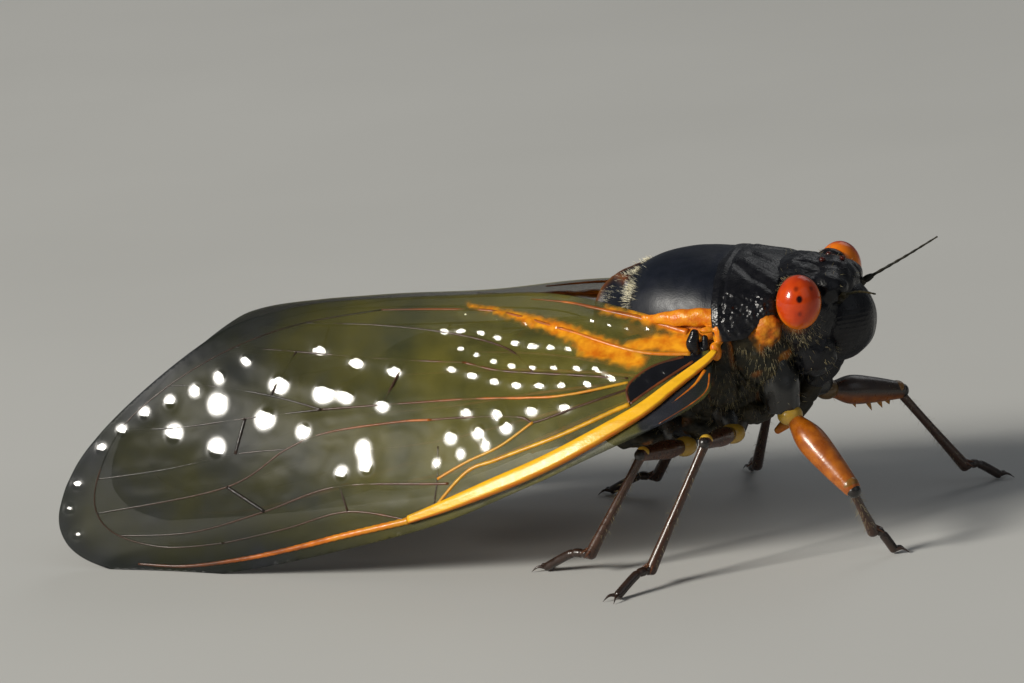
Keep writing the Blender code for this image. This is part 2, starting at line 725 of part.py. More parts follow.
# Legs: joints in the floor frame, except the coxa's top and foot, which are on the body


LEGS = {
    "leg_fore_right": {
        "coxa": [(1.8, -2.3, -1.0), (2.0, -2.6, -2.2), (2.1, -2.65, -3.3)],
        "knee": (5.57, -5.0, 3.5),
        "ankle": (6.1, -3.9, 1.15),
        "claws": (7.0, -3.4, 0.05),
        "kind": "fore",
    },
    "leg_fore_left": {
        "coxa": [(1.8, 2.3, -1.0), (2.1, 2.6, -2.4), (2.25, 2.65, -3.9)],
        "knee": (5.5, 5.2, 5.1),
        "ankle": (7.8, 7.3, 0.9),
        "claws": (9.35, 8.4, 0.05),
        "kind": "fore",
    },
    "leg_mid_right": {
        "coxa": [(-0.9, -1.5, -3.2), (-0.5, -1.95, -3.9), (-0.4, -2.3, -4.35)],
        "knee": (-0.4, -6.2, 6.0),
        "ankle": (-2.9, -8.05, 0.8),
        "claws": (-4.15, -10.1, 0.05),
        "kind": "mid",
    },
    "leg_mid_left": {
        "coxa": [(-0.9, 1.5, -3.2), (-0.5, 1.95, -3.9), (-0.4, 2.3, -4.35)],
        "knee": (-0.3, 6.2, 5.9),
        "ankle": (-2.3, 8.5, 0.8),
        "claws": (-3.2, 10.7, 0.05),
        "kind": "mid",
    },
    "leg_hind_right": {
        "coxa": [(-3.7, -1.4, -3.5), (-3.0, -1.9, -4.4), (-2.65, -2.2, -4.8)],
        "knee": (-3.5, -5.6, 5.35),
        "ankle": (-6.2, -6.0, 0.95),
        "claws": (-8.9, -5.2, 0.05),
        "kind": "hind",
    },
    "leg_hind_left": {
        "coxa": [(-3.7, 1.4, -3.5), (-3.0, 1.9, -4.4), (-2.65, 2.2, -4.8)],
        "knee": (-3.7, 5.6, 5.25),
        "ankle": (-6.6, 6.6, 0.9),
        "claws": (-9.3, 7.0, 0.05),
        "kind": "hind",
    },
}
LEG_SIZES = {
    # radii: coxa top, middle and foot; femur root, belly, shaft and knee; tibia knee, middle and ankle
    "fore": ((0.9, 0.93, 0.8), (0.5, 0.68, 0.6, 0.44), (0.29, 0.26, 0.32)),
    "mid": ((0.9, 0.78, 0.5), (0.38, 0.45, 0.4, 0.36), (0.3, 0.27, 0.35)),
    "hind": ((0.9, 0.78, 0.5), (0.38, 0.46, 0.4, 0.36), (0.3, 0.27, 0.35)),
}
HALF_SPACE_SIZE = 9.0
HIP_RADII = (0.52, 0.52, 0.55)
TARSUS_RADIUS = 0.25
TARSUS_LEVEL = 0.18
CLAW_SPREAD = 0.32
SPUR_REACH = 0.42
SPUR_RADIUS = 0.135


def half_space(point, normal):
    """A block that fills the side of a plane to which normal points."""
    reach = HALF_SPACE_SIZE
    turn = normal.to_track_quat("Z", "Y").to_matrix().to_4x4()
    return box_piece((-reach, -reach, 0.0), (reach, reach, reach), Matrix.Translation(point) @ turn)


def part_at_joint(before, joint, after, upper, lower):
    """Cuts two limb pieces on both sides of the plane that halves the bend at their joint."""
    plane = ((joint - before).normalized() + (after - joint).normalized()).normalized()
    apply_boolean(upper, "DIFFERENCE", [cutter(half_space(joint - plane * GAP / 2, plane))])
    apply_boolean(lower, "DIFFERENCE", [cutter(half_space(joint + plane * GAP / 2, -plane))])


def shin_pieces(knee, ankle, radii, kind):
    """The tibia with the spurs round its lower end, and the pair on the back of a hind one."""
    along = (ankle - knee).normalized()
    side = along.cross(Vector((0, 0, 1))).normalized()
    front = along.cross(side)
    pieces = [tube([knee - along * 0.25, knee.lerp(ankle, 0.45), ankle + along * 0.2], radii, 8)]
    for turn in (-60, 0, 60):
        out = side * math.sin(math.radians(turn)) - front * math.cos(math.radians(turn))
        base = ankle - along * 0.55 + out * radii[2] * 0.5
        pieces.append(cone(base, base + (along + out) * SPUR_REACH, SPUR_RADIUS))
    if kind == "hind":
        for share in (0.5, 0.7):
            base = knee.lerp(ankle, share) + side * radii[1] * 0.4
            pieces.append(cone(base, base + along * 0.3 + side * 0.5, SPUR_RADIUS))
    return pieces


def thigh_pieces(coxa, hip, knee, sizes, kind):
    """Coxa, trochanter and femur; a fore femur is swollen and spined below."""
    coxa_radii, femur_radii, _ = sizes
    along = (knee - hip).normalized()
    femur = [hip, hip.lerp(knee, 0.3), hip.lerp(knee, 0.68), knee + along * 0.1]
    pieces = [tube(coxa, coxa_radii, 12), tube(femur, femur_radii, 10)]
    pieces.append(ellipsoid(coxa[-1], HIP_RADII, 6, 10))
    if kind == "fore":
        for share in (0.4, 0.6, 0.76):
            base = hip.lerp(knee, share) - Vector((0, 0, femur_radii[2] * 0.6))
            pieces.append(cone(base, base + along * 0.2 - Vector((0, 0, 0.56)), 0.2))
    return pieces


def foot_pieces(ankle, claws):
    """The arched tarsus and its two claws, which reach the floor."""
    foot = ankle.lerp(claws, 0.84)
    low = Vector((foot.x, foot.y, TARSUS_LEVEL))
    arch = ankle.lerp(foot, 0.5) + Vector((0, 0, TARSUS_LEVEL))
    back = (arch - ankle).normalized() * 0.15
    pieces = [tube([ankle - back, arch, low], [TARSUS_RADIUS * 1.05, TARSUS_RADIUS, TARSUS_RADIUS], 8)]
    heading = Vector((claws.x - foot.x, claws.y - foot.y, 0)).normalized()
    aside = Vector((-heading.y, heading.x, 0))
    for hand in (-1, 1):
        tip = low + heading * 0.62 + aside * hand * CLAW_SPREAD - Vector((0, 0, TARSUS_LEVEL * 0.75))
        pieces.append(cone(low, tip, 0.17, 5))
    return pieces, arch


def build_legs(fore_finish, other_finish):
    """Each leg in three nodes, parted at the knee and at the ankle."""
    for name, leg in LEGS.items():
        kind = leg["kind"]
        thigh_finish = fore_finish if kind == "fore" else other_finish
        coxa = [on_floor(p) for p in leg["coxa"]]
        knee, ankle, claws = (Vector(leg[word]) for word in ("knee", "ankle", "claws"))
        hip = coxa[-1] + (knee - coxa[-1]).normalized() * 0.35
        thigh = fuse(f"{name}_thigh", thigh_pieces(coxa, hip, knee, LEG_SIZES[kind], kind), thigh_finish)
        shin = fuse(f"{name}_shin", shin_pieces(knee, ankle, LEG_SIZES[kind][2], kind), other_finish)
        toes, arch = foot_pieces(ankle, claws)
        foot = fuse(f"{name}_foot", toes, other_finish)
        part_at_joint(hip, knee, ankle, thigh, shin)
        part_at_joint(knee, ankle, arch, shin, foot)
        neighbours = [cutter(thorax_piece(GAP + 0.08), body_frame())]
        if kind == "fore":
            neighbours += grown_head()
        apply_boolean(thigh, "DIFFERENCE", neighbours)
        flatten_on_floor(foot)


def centre_on_floor():
    """Shifts every node so that the whole model's box is centred on the origin."""
    bpy.context.view_layer.update()
    nodes = [o for o in bpy.context.scene.objects if o.type == "MESH"]
    corners = np.array([tuple(v.co) for o in nodes for v in o.data.vertices])
    middle = (corners.min(0) + corners.max(0)) / 2
    for node in nodes:
        node.data.transform(Matrix.Translation((-middle[0], -middle[1], 0.0)))


def main():
    for old in list(bpy.data.objects):
        bpy.data.objects.remove(old)
    black = material("black cuticle", (0.012, 0.012, 0.016), 0.28)
    soot = material("dull black cuticle", (0.018, 0.015, 0.013), 0.5)
    eye_red = material("eye red", (0.55, 0.06, 0.01), 0.12)
    amber = material("leg amber", (0.42, 0.13, 0.02), 0.3)
    brown = material("leg brown", (0.09, 0.03, 0.015), 0.35)
    clear = material("clear wing", (0.55, 0.45, 0.22), 0.2, 0.0, 0.4)
    clear_hind = material("clear hindwing", (0.6, 0.52, 0.34), 0.2, 0.0, 0.4)

    build_head(black, eye_red)
    build_feelers(soot)
    stations = np.linspace(PRONOTUM_BACK, PRONOTUM_FRONT, 15)
    plate("pronotum", PRONOTUM_KEYS, stations, 40, pronotum_relief, black)
    stations = np.linspace(MESONOTUM_BACK, MESONOTUM_FRONT, 18)
    mesonotum = plate("mesonotum", MESONOTUM_KEYS, stations, 32, mesonotum_relief, black)
    apply_boolean(mesonotum, "DIFFERENCE", grown_wings(WING_OUTLINE, 0.0))
    thorax = add_object("thorax", thorax_piece(), soot, body_frame())
    apply_boolean(thorax, "DIFFERENCE", grown_wings(HINDWING_OUTLINE, HINDWING_DEPTH))
    abdomen = add_object("abdomen", abdomen_piece(), soot, body_frame())
    apply_boolean(abdomen, "DIFFERENCE", grown_wings(HINDWING_OUTLINE, HINDWING_DEPTH))
    build_wings(clear, clear_hind)
    build_legs(amber, brown)
    centre_on_floor()


main()
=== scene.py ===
"""Looks of a life-size periodical cicada at rest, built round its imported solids.

Shapes are in millimetres. Body and wings use the body's own frame, with its origin between the wing bases
and +X to the head, and the legs use the floor's. piece() turns both into metres.
"""

import math

import bpy
import numpy as np
from mathutils import Matrix, Vector
from mathutils.geometry import delaunay_2d_cdt
from numpy.linalg import norm


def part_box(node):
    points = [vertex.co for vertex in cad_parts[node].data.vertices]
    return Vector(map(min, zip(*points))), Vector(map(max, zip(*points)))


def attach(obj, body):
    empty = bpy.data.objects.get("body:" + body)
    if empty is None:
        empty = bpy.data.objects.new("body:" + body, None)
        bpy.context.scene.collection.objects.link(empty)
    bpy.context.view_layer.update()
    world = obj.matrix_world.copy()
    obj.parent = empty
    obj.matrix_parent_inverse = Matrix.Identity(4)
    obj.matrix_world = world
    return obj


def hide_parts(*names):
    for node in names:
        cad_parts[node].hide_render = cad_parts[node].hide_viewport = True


MM = 0.001

# Sides of the body: the sign of y, and its word
SIDES = ((-1, "right"), (1, "left"))

# The body's place over its feet, as in the solids
BODY_HEIGHT = 9.7
BODY_PITCH = math.radians(3)
HEAD_ROLL = math.radians(2.4)
EYE_CENTRE = Vector((3.75, -3.78, 1.45))
EYE_RADII = (0.98, 1, 1.2)
EYE_LEAN = math.radians(8)

# The folded forewing: droop of its axis, height, middle and half width of its arch, and its lean
WING_DROOP = math.radians(10.6)
WING_ARCH = 1.25
ARCH_MIDDLE = 1.4
ARCH_HALF = 5.9
HINDWING_DEPTH = 1.05
MEMBRANE_HALF = 0.025
FILM_SPACING = 0.13
HINDWING_SPACING = 0.26
FILM_CLEARANCE = 0.03
RIB_SPACING = 0.42
VEIN_SPACING = 0.14
# Rounds of correction until the puckers, which disturb each other, all have the slope they need
SLOPE_ROUNDS = 30
WING_SET = [
    # p along the wing, y of its axis, lean from upright in degrees, share of the arch
    (0, -4.62, 50, 0), (5, -4.6, 50, 0.7), (10, -4.25, 47, 1), (15, -4.25, 37.5, 1),
    (19, -4.15, 31, 0.95), (23.5, -3.85, 21, 0.75), (28.2, -3.4, 13, 0.5), (33.2, -3.1, 9, 0.3),
]

# Camera, from the photograph: turn, height above the horizon, tilt, distance and focal length
PICTURE = (1024, 683)
CAMERA_AZIMUTH = math.radians(18)
CAMERA_ELEVATION = math.radians(13.5)
CAMERA_ROLL = math.radians(6)
CAMERA_DISTANCE = 240
FOCAL_PIXELS = 5520
SENSOR_WIDTH = 36
WING_ROOT = Vector((0, -4.6, 9.7))
WING_ROOT_PIXEL = (716, 350)

# The key light stands where the sun stood in the photograph
KEY_AZIMUTH = math.radians(-46)
KEY_ELEVATION = math.radians(29)

# Half the floor's width and the point that the lamps aim at, in metres
FLOOR_HALF = 2
LAMP_TARGET = Vector((0, 0, 0.006))


def smooth(keys, t):
    """Values at t (a number or an array) on a smooth curve through keys, a list of (t, value, ...)."""
    table = np.array(keys, float)
    at, values = table[:, 0], table[:, 1:]
    t = np.clip(np.atleast_1d(np.asarray(t, float)), at[0], at[-1])
    i = np.clip(np.searchsorted(at, t, side="right") - 1, 0, len(at) - 2)
    slopes = np.gradient(values, at, axis=0)
    span = (at[i + 1] - at[i])[:, None]
    u = (t - at[i])[:, None] / span
    start = (1 + 2 * u) * (1 - u) ** 2 * values[i] + u * (1 - u) ** 2 * span * slopes[i]
    return start + u * u * (3 - 2 * u) * values[i + 1] + u * u * (u - 1) * span * slopes[i + 1]


def ramp(x, low, high):
    """0 below low, 1 above high, and a smooth step between them."""
    u = np.clip((np.asarray(x, float) - low) / (high - low), 0, 1)
    return u * u * (3 - 2 * u)


def bump(x, centre, width):
    """A round hump of height 1 about centre."""
    return np.exp(-(((np.asarray(x, float) - centre) / width) ** 2))


def unit(rows):
    """Vectors of length 1, from one vector or from rows of them."""
    rows = np.asarray(rows, float)
    return rows / norm(rows, axis=-1, keepdims=True)


def bearing(azimuth, elevation):
    """The direction of a light or camera as seen from the insect."""
    flat = math.cos(elevation)
    return np.array((math.sin(azimuth) * flat, -math.cos(azimuth) * flat, math.sin(elevation)))


def circle(count):
    """Evenly spaced angles round a full turn."""
    return np.linspace(0, math.tau, count, endpoint=False)


def tangents(points):
    return unit(np.gradient(points, axis=0))


def between(start, end, share):
    return start + (end - start) * share


def sized(points, radii):
    """Points with a radius added to each."""
    return [(*point, radius) for point, radius in zip(points, radii)]


def waves(points, size, seed):
    """Smooth seeded noise of about unit strength, with lumps of about the given size."""
    points = np.asarray(points, float)
    draw = np.random.default_rng(seed)
    count, axes = 14, points.shape[1]
    ways = unit(draw.normal(size=(count, axes)))
    ways *= math.tau / np.broadcast_to(size, (axes,)) * draw.uniform(0.7, 1.3, (count, 1))
    return np.sin(points @ ways.T + draw.uniform(0, math.tau, count)).sum(1) * math.sqrt(2 / count)


def line_distance(points, line):
    """Distance from each point to the nearest segment of a line."""
    line = np.asarray(line, float)
    starts, along = line[:-1], np.diff(line, axis=0)
    offset = points[:, None] - starts
    u = np.clip((offset * along).sum(2) / (along**2).sum(1), 0, 1)
    return norm(offset - u[..., None] * along, axis=2).min(1)


def crease(points, line, width):
    """1 on a line, falling off to 0 over the width beside it."""
    return bump(line_distance(points, line), 0, width)


def curve_points(points, spacing, closed=False):
    """Evenly spaced points on a smooth curve through points of any dimension."""
    points = np.asarray(points, float)
    before, after = (points[-1:], points[:2]) if closed else (points[:1], points[-1:])
    knots = np.vstack([before, points, after])
    u = np.linspace(0, 1, 24, endpoint=False)[:, None]
    dense = []
    for a, b, c, d in zip(knots, knots[1:], knots[2:], knots[3:]):
        bend = (2 * a - 5 * b + 4 * c - d) * u**2 + (3 * b - a - 3 * c + d) * u**3
        dense.append(0.5 * (2 * b + (c - a) * u + bend))
    dense = np.vstack([*dense, points[:1] if closed else points[-1:]])
    travel = np.concatenate([[0], np.cumsum(norm(np.diff(dense[:, :3], axis=0), axis=1))])
    at = np.linspace(0, travel[-1], max(1, round(travel[-1] / spacing)) + 1)
    made = np.stack([np.interp(at, travel, column) for column in dense.T], axis=1)
    return made[:-1] if closed else made


def inside(points, outline):
    """Which points of the plane are inside a closed outline."""
    x, y = points[:, 0, None], points[:, 1, None]
    a, b = outline, np.roll(outline, -1, axis=0)
    crossing = (a[:, 1] > y) != (b[:, 1] > y)
    rise = np.where(b[:, 1] == a[:, 1], 1e-9, b[:, 1] - a[:, 1])
    return (crossing & (x < (b[:, 0] - a[:, 0]) * (y - a[:, 1]) / rise + a[:, 0])).sum(1) % 2 == 1


# Shapes: each is a pair of an array of points and a list of faces


def join(shapes):
    """One shape from several."""
    points, faces, start = [], [], 0
    for p, f in shapes:
        points.append(np.asarray(p, float))
        faces += [tuple(i + start for i in face) for face in f]
        start += len(p)
    return np.vstack(points), faces


def loft(rings):
    """A closed form through rings of equal length, with a fan at each end."""
    rings = np.asarray(rings, float)
    rows, count = rings.shape[:2]
    size, last = rows * count, (rows - 1) * count
    grid = np.arange(size).reshape(rows, count)
    ahead = np.roll(grid, -1, axis=1)
    faces = np.stack([grid[:-1], ahead[:-1], ahead[1:], grid[1:]], axis=2).reshape(-1, 4).tolist()
    faces += [(j, size, (j + 1) % count) for j in range(count)]
    faces += [(last + (j + 1) % count, size + 1, last + j) for j in range(count)]
    return np.vstack([rings.reshape(-1, 3), rings[[0, -1]].mean(1)]), faces


def ball(centre, radii, rings=26, sides=36):
    """An ellipsoid whose poles lie along z."""
    lift = np.linspace(0, math.pi, rings + 1)[1:-1, None]
    side = circle(sides)
    level = np.broadcast_to(np.cos(lift), (rings - 1, sides))
    sphere = np.stack([np.sin(lift) * np.cos(side), np.sin(lift) * np.sin(side), level], axis=2)
    points, faces = loft(sphere[::-1])
    points[-2:] = [(0, 0, -1), (0, 0, 1)]
    return points * radii + centre, faces


def limb(path, sides, spacing=0.12, flatten=1, ends=0.8, ripple=None):
    """A round limb along points (x, y, z, radius), with rounded ends."""
    way = curve_points(path, spacing)
    centres, radii = way[:, :3], way[:, 3]
    if ripple is not None:
        radii = radii * ripple(np.arange(len(radii)) * spacing)
    along = tangents(centres)
    stations = list(zip(centres, radii, along))
    for reach in (0.38, 0.7, 0.92):
        out, size = ends * reach, math.sqrt(1 - reach**2)
        stations.insert(0, (centres[0] - along[0] * radii[0] * out, radii[0] * size, along[0]))
        stations.append((centres[-1] + along[-1] * radii[-1] * out, radii[-1] * size, along[-1]))
    side = np.cross(along[0], (0, 0.3, 1))
    turns = circle(sides)[:, None]
    rings = []
    for centre, radius, ahead in stations:
        side = unit(side - ahead * (side @ ahead))
        across = np.cross(ahead, side)
        rings.append(centre + radius * (side * np.cos(turns) + across * flatten * np.sin(turns)))
    return loft(rings)


def spike(base, tip, radius, sides, bend=(0, 0, 0)):
    """A tapered curved spine."""
    middle = (base + tip) / 2 + bend
    path = sized((base, middle, tip), (radius, radius * 0.62, radius * 0.08))
    return limb(path, sides, norm(tip - base) / 6)


def shown(name, data):
    """A new object in the scene."""
    made = bpy.data.objects.new(name, data)
    bpy.context.scene.collection.objects.link(made)
    return made


def mesh_from(name, shape):
    mesh = bpy.data.meshes.new(name)
    mesh.from_pydata([tuple(p) for p in shape[0]], [], shape[1])
    mesh.update()
    return mesh


def shape_of(mesh):
    points = np.zeros(len(mesh.vertices) * 3)
    mesh.vertices.foreach_get("co", points)
    return points.reshape(-1, 3), [tuple(face.vertices) for face in mesh.polygons]


def normals_of(shape):
    mesh = mesh_from("normals", shape)
    found = np.zeros(len(mesh.vertices) * 3)
    mesh.vertices.foreach_get("normal", found)
    bpy.data.meshes.remove(mesh)
    return found.reshape(-1, 3)


def blended(lumps, voxel, rounds):
    """One smooth closed skin round overlapping lumps."""
    draft = shown("draft", mesh_from("draft", join(lumps)))
    remesh = draft.modifiers.new("skin", "REMESH")
    remesh.mode = "VOXEL"
    remesh.voxel_size = voxel
    relax = draft.modifiers.new("relax", "SMOOTH")
    relax.factor = 0.5
    relax.iterations = rounds
    mesh = bpy.data.meshes.new_from_object(draft.evaluated_get(bpy.context.evaluated_depsgraph_get()))
    bpy.data.objects.remove(draft)
    return shape_of(mesh)


def axes(shape):
    """x, the distance from the middle plane, and z of a shape's points."""
    x, y, z = shape[0].T
    return x, np.abs(y), z


def raised(shape, rise):
    """The shape with each point moved along its normal."""
    return shape[0] + normals_of(shape) * np.asarray(rise)[:, None], shape[1]


def placed(points, frame):
    """Points of the body or floor frame in the model's own frame, in millimetres."""
    return np.asarray(points, float) @ np.array(frame.to_3x3()).T + np.array(frame.translation)


def piece(name, shape, finish, frame, paint=(), stands_for=()):
    """A shown piece from a shape in millimetres, riding on the body, with its painted attributes."""
    made = shown(name, mesh_from(name, (placed(shape[0], frame) * MM, shape[1])))
    made.data.materials.append(finish)
    made.data.polygons.foreach_set("use_smooth", [True] * len(made.data.polygons))
    for word, values in dict(paint).items():
        layer = made.data.attributes.new(word, "FLOAT", "POINT")
        layer.data.foreach_set("value", np.full(len(shape[0]), values, np.float32))
    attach(made, "root")
    if stands_for:
        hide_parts(*stands_for)
    return made


# Materials


class Look:
    """A Principled material and short ways to feed its sockets."""

    def __init__(self, name, roughness=0.4, **constants):
        self.material = bpy.data.materials.new(name)
        self.material.use_nodes = True
        self.tree = self.material.node_tree
        self.inputs = self.tree.nodes["Principled BSDF"].inputs
        self.inputs["Roughness"].default_value = roughness
        for word, value in constants.items():
            self.inputs[word.replace("_", " ").title().replace("Ior", "IOR")].default_value = value
        self.place = self.node("TexCoord").outputs["Object"]

    def feed(self, socket, value):
        if isinstance(value, bpy.types.NodeSocket):
            self.tree.links.new(value, socket)
        else:
            socket.default_value = (*value, 1) if socket.type == "RGBA" else value

    def node(self, kind, **values):
        made = self.tree.nodes.new(f"ShaderNode{kind}")
        for word, value in values.items():
            self.feed(made.inputs[word], value)
        return made

    def painted(self, word):
        node = self.node("Attribute")
        node.attribute_name = word
        return node.outputs["Fac"]

    def noise(self, size, detail=3, stretch=None):
        """Noise between 0 and 1 whose lumps are about size millimetres across."""
        place = self.place
        if stretch is not None:
            place = self.node("Mapping", Vector=place, Scale=stretch).outputs["Vector"]
        return self.node("TexNoise", Vector=place, Scale=1 / (size * MM), Detail=detail).outputs["Fac"]

    def cells(self, size):
        return self.node("TexVoronoi", Vector=self.place, Scale=1 / (size * MM)).outputs["Distance"]

    def fit(self, value, low, high, to_low=0, to_high=1):
        ends = {"From Min": low, "From Max": high, "To Min": to_low, "To Max": to_high}
        return self.node("MapRange", Value=value, **ends).outputs["Result"]

    def add(self, a, b):
        node = self.node("Math")
        node.use_clamp = True
        self.feed(node.inputs[0], a)
        self.feed(node.inputs[1], b)
        return node.outputs[0]

    def mix(self, share, a, b):
        node = self.node("Mix")
        node.data_type = "RGBA"
        self.feed(node.inputs["Factor"], share)
        for socket, value in zip([s for s in node.inputs if s.type == "RGBA"], (a, b)):
            self.feed(socket, value)
        return next(s for s in node.outputs if s.type == "RGBA")

    def mottled(self, size, detail, low, high, a, b):
        """Colour a turning to colour b where noise rises from low to high."""
        return self.mix(self.fit(self.noise(size, detail), low, high), a, b)

    def colour(self, value):
        self.feed(self.inputs["Base Color"], value)

    def rough(self, low, high, size):
        self.feed(self.inputs["Roughness"], self.fit(self.noise(size), 0.3, 0.7, low, high))

    def relief(self, *layers):
        """Bump from (height, depth in millimetres) layers."""
        normal = {}
        for height, depth in layers:
            bumps = self.node("Bump", Height=height, Distance=depth * MM, **normal)
            normal = {"Normal": bumps.outputs["Normal"]}
        self.feed(self.inputs["Normal"], normal["Normal"])


ORANGE = (0.66, 0.15, 0.006)
YELLOW = (0.85, 0.34, 0.012)


def cuticle(name, dark, light, low, high, pit, depth):
    """Insect shell: dark with lighter grain, small pits, and orange where it is painted so."""
    look = Look(name, specular_ior_level=0.32)
    shell = look.mottled(0.5, 5, 0.42, 0.72, dark, light)
    look.colour(look.mix(look.painted("orange"), shell, look.mottled(0.35, 4, 0.35, 0.7, ORANGE, YELLOW)))
    look.rough(low, high, 0.4)
    look.relief((look.noise(0.6, 4), depth * 2), (look.cells(pit), depth))
    return look.material


def eye_finish():
    """Red, with an orange rim and dark spots where they are painted so."""
    look = Look("eye", 0.25, coat_weight=0.5, coat_roughness=0.03, specular_ior_level=0.2)
    iris = look.mottled(0.5, 3, 0.3, 0.75, (0.62, 0.06, 0.003), (0.45, 0.03, 0.002))
    iris = look.mix(look.painted("rim"), iris, (0.82, 0.19, 0.006))
    look.colour(look.mix(look.painted("pupil"), iris, (0.012, 0.001, 0.001)))
    look.relief((look.cells(0.045), 0.0016))
    return look.material


def leg_finish():
    """Brown, with amber, yellow and black where they are painted so; the black on the left fore femur and
    its trochanter is painted shade.
    """
    look = Look("leg", coat_weight=0.3, coat_roughness=0.15)
    brown = look.mottled(0.3, 4, 0.35, 0.7, (0.012, 0.005, 0.003), (0.06, 0.018, 0.008))
    amber = look.mottled(0.45, 4, 0.35, 0.68, (0.3, 0.07, 0.004), (0.48, 0.135, 0.007))
    coloured = look.mix(look.painted("amber"), brown, amber)
    coloured = look.mix(look.painted("yellow"), coloured, (0.72, 0.44, 0.05))
    look.colour(look.mix(look.painted("dark"), coloured, (0.012, 0.012, 0.011)))
    look.rough(0.22, 0.42, 0.3)
    look.relief((look.noise(0.12, 3), 0.008), (look.noise(0.7, 3), 0.03))
    return look.material


# Vein colours by their painted tone, from bright yellow through orange and brown to nearly black
VEIN_TONES = [
    (0, (0.95, 0.5, 0.014)), (0.14, (0.6, 0.31, 0.012)), (0.32, (0.66, 0.17, 0.006)),
    (0.46, (0.25, 0.06, 0.006)), (0.64, (0.07, 0.022, 0.008)), (1, (0.008, 0.006, 0.005)),
]


def vein_finish():
    look = Look("vein", coat_weight=0.15, coat_roughness=0.15, specular_ior_level=0.35)
    streak = look.noise(0.3, 3, (0.12, 1, 1))
    tone = look.add(look.painted("tone"), look.fit(streak, 0.3, 0.8, -0.08, 0.1))
    tones = look.node("ValToRGB", Fac=tone)
    stops = tones.color_ramp.elements
    for at, _ in VEIN_TONES[1:-1]:
        stops.new(at)
    for stop, (_, colour) in zip(stops, VEIN_TONES):
        stop.color = (*colour, 1)
    look.colour(tones.outputs["Color"])
    look.rough(0.28, 0.44, 0.4)
    look.relief((look.noise(0.1, 3), 0.01), (streak, 0.03))
    return look.material


def membrane_finish():
    """Clear wing film, olive, turning dark and less clear with painted shade, and amber, black or glossy
    where painted so.
    """
    look = Look("membrane")
    painted_shade, amber, black, gloss = (look.painted(word) for word in ("painted_shade", "amber", "black", "gloss"))
    cloud = look.fit(look.noise(2.6, 4), 0.35, 0.7)
    clear = look.mix(cloud, (0.19, 0.17, 0.035), (0.08, 0.085, 0.03))
    # The dark colour is painted shade, standing for the shaded ground seen through the wing, not a tint of
    # the film.
    painted_shade_colour = look.mix(cloud, (0.014, 0.017, 0.01), (0.022, 0.024, 0.032))
    rusty = look.mottled(0.5, 4, 0.35, 0.68, (0.95, 0.4, 0.016), (0.64, 0.16, 0.005))
    tinted = look.mix(amber, look.mix(painted_shade, clear, painted_shade_colour), rusty)
    look.colour(look.mix(black, tinted, (0.005, 0.005, 0.007)))
    # The film is made less clear where painted shade is painted, so that it reads dark.
    alpha = look.add(look.fit(painted_shade, 0, 1, 0.46, 0.78), look.fit(amber, 0, 1, 0, 0.5))
    look.feed(look.inputs["Alpha"], look.add(alpha, black))
    look.feed(look.inputs["Roughness"], look.fit(gloss, 0, 1, 0.4, 0.07))
    look.feed(look.inputs["Specular IOR Level"], look.fit(gloss, 0, 1, 0.14, 0.6))
    look.relief((look.noise(0.22, 3), 0.0015), (look.noise(0.9, 2), 0.008))
    return look.material


def hair_finish(name, colour, darker):
    look = Look(name, 0.35, specular_ior_level=0.6, sheen_weight=0.3)
    look.colour(look.mottled(0.5, 3, 0.35, 0.65, colour, darker))
    look.relief((look.noise(0.05, 2), 0.004))
    return look.material


# Back plates, flanks and abdomen

PRONOTUM_KEYS = [
    # x, half width, crown
    (-0.08, 4.42, 3.36), (0.25, 4.5, 3.38), (0.9, 4.4, 3.32), (1.7, 4.1, 3.12), (2.55, 3.7, 2.78),
    (2.95, 3.35, 2.5),
]
MESONOTUM_KEYS = [
    (-6.4, 0.7, 1.3), (-6.25, 0.95, 1.7), (-5.9, 1.4, 2.15), (-5.4, 1.8, 2.45), (-4.6, 2.45, 2.88),
    (-3.4, 3.1, 3.4), (-2, 3.55, 3.6), (-0.5, 3.9, 3.48), (0.3, 3.9, 3.3), (0.6, 3.8, 3.1),
]
THORAX_KEYS = [
    # x, half width, lowest level
    (-6.7, 2.7, -4.15), (-5, 2.95, -4.45), (-3.2, 3.15, -4.45), (-1.4, 3.55, -4.3), (0.2, 3.95, -3.7),
    (1.5, 3.75, -2.7), (2.9, 3.2, -1.75),
]
ABDOMEN_KEYS = [
    # x, half width, top, bottom
    (-21.6, 0.45, -2.75, -3.45), (-21.2, 1.05, -2.3, -3.85), (-20.2, 1.6, -1.75, -4.25),
    (-18, 2.35, -1, -4.75), (-15, 2.85, -0.3, -5.05), (-12, 3.1, 0.2, -5.05),
    (-9, 3.15, 0.5, -4.8), (-6.4, 2.8, 0.6, -4.2),
]
ABDOMEN_JOINTS = [-6.2, -8.3, -10.3, -12.3, -14.3, -16.2, -17.9, -19.3, -21]


def hoops(x, half, middle, tall, turn, power):
    """Rounded hoops across x, with their half widths, middle levels and heights."""
    c, s = np.cos(turn), np.sin(turn)
    rings = np.zeros((len(x), len(turn), 3))
    rings[..., 0] = x[:, None]
    rings[..., 1] = half * np.sign(c) * np.abs(c) ** (2 / power)
    rings[..., 2] = middle + tall * np.sign(s) * np.abs(s) ** (2 / power)
    return rings


def arch(keys, rows, columns, base, power):
    """Half hoops over a base whose level may change along them."""
    x = np.linspace(keys[0][0], keys[-1][0], rows)
    sizes = smooth(keys, x)
    base = np.broadcast_to(base, rows)[:, None]
    return hoops(x, sizes[:, :1], base, sizes[:, 1:] - base, np.linspace(0, math.pi, columns), power)


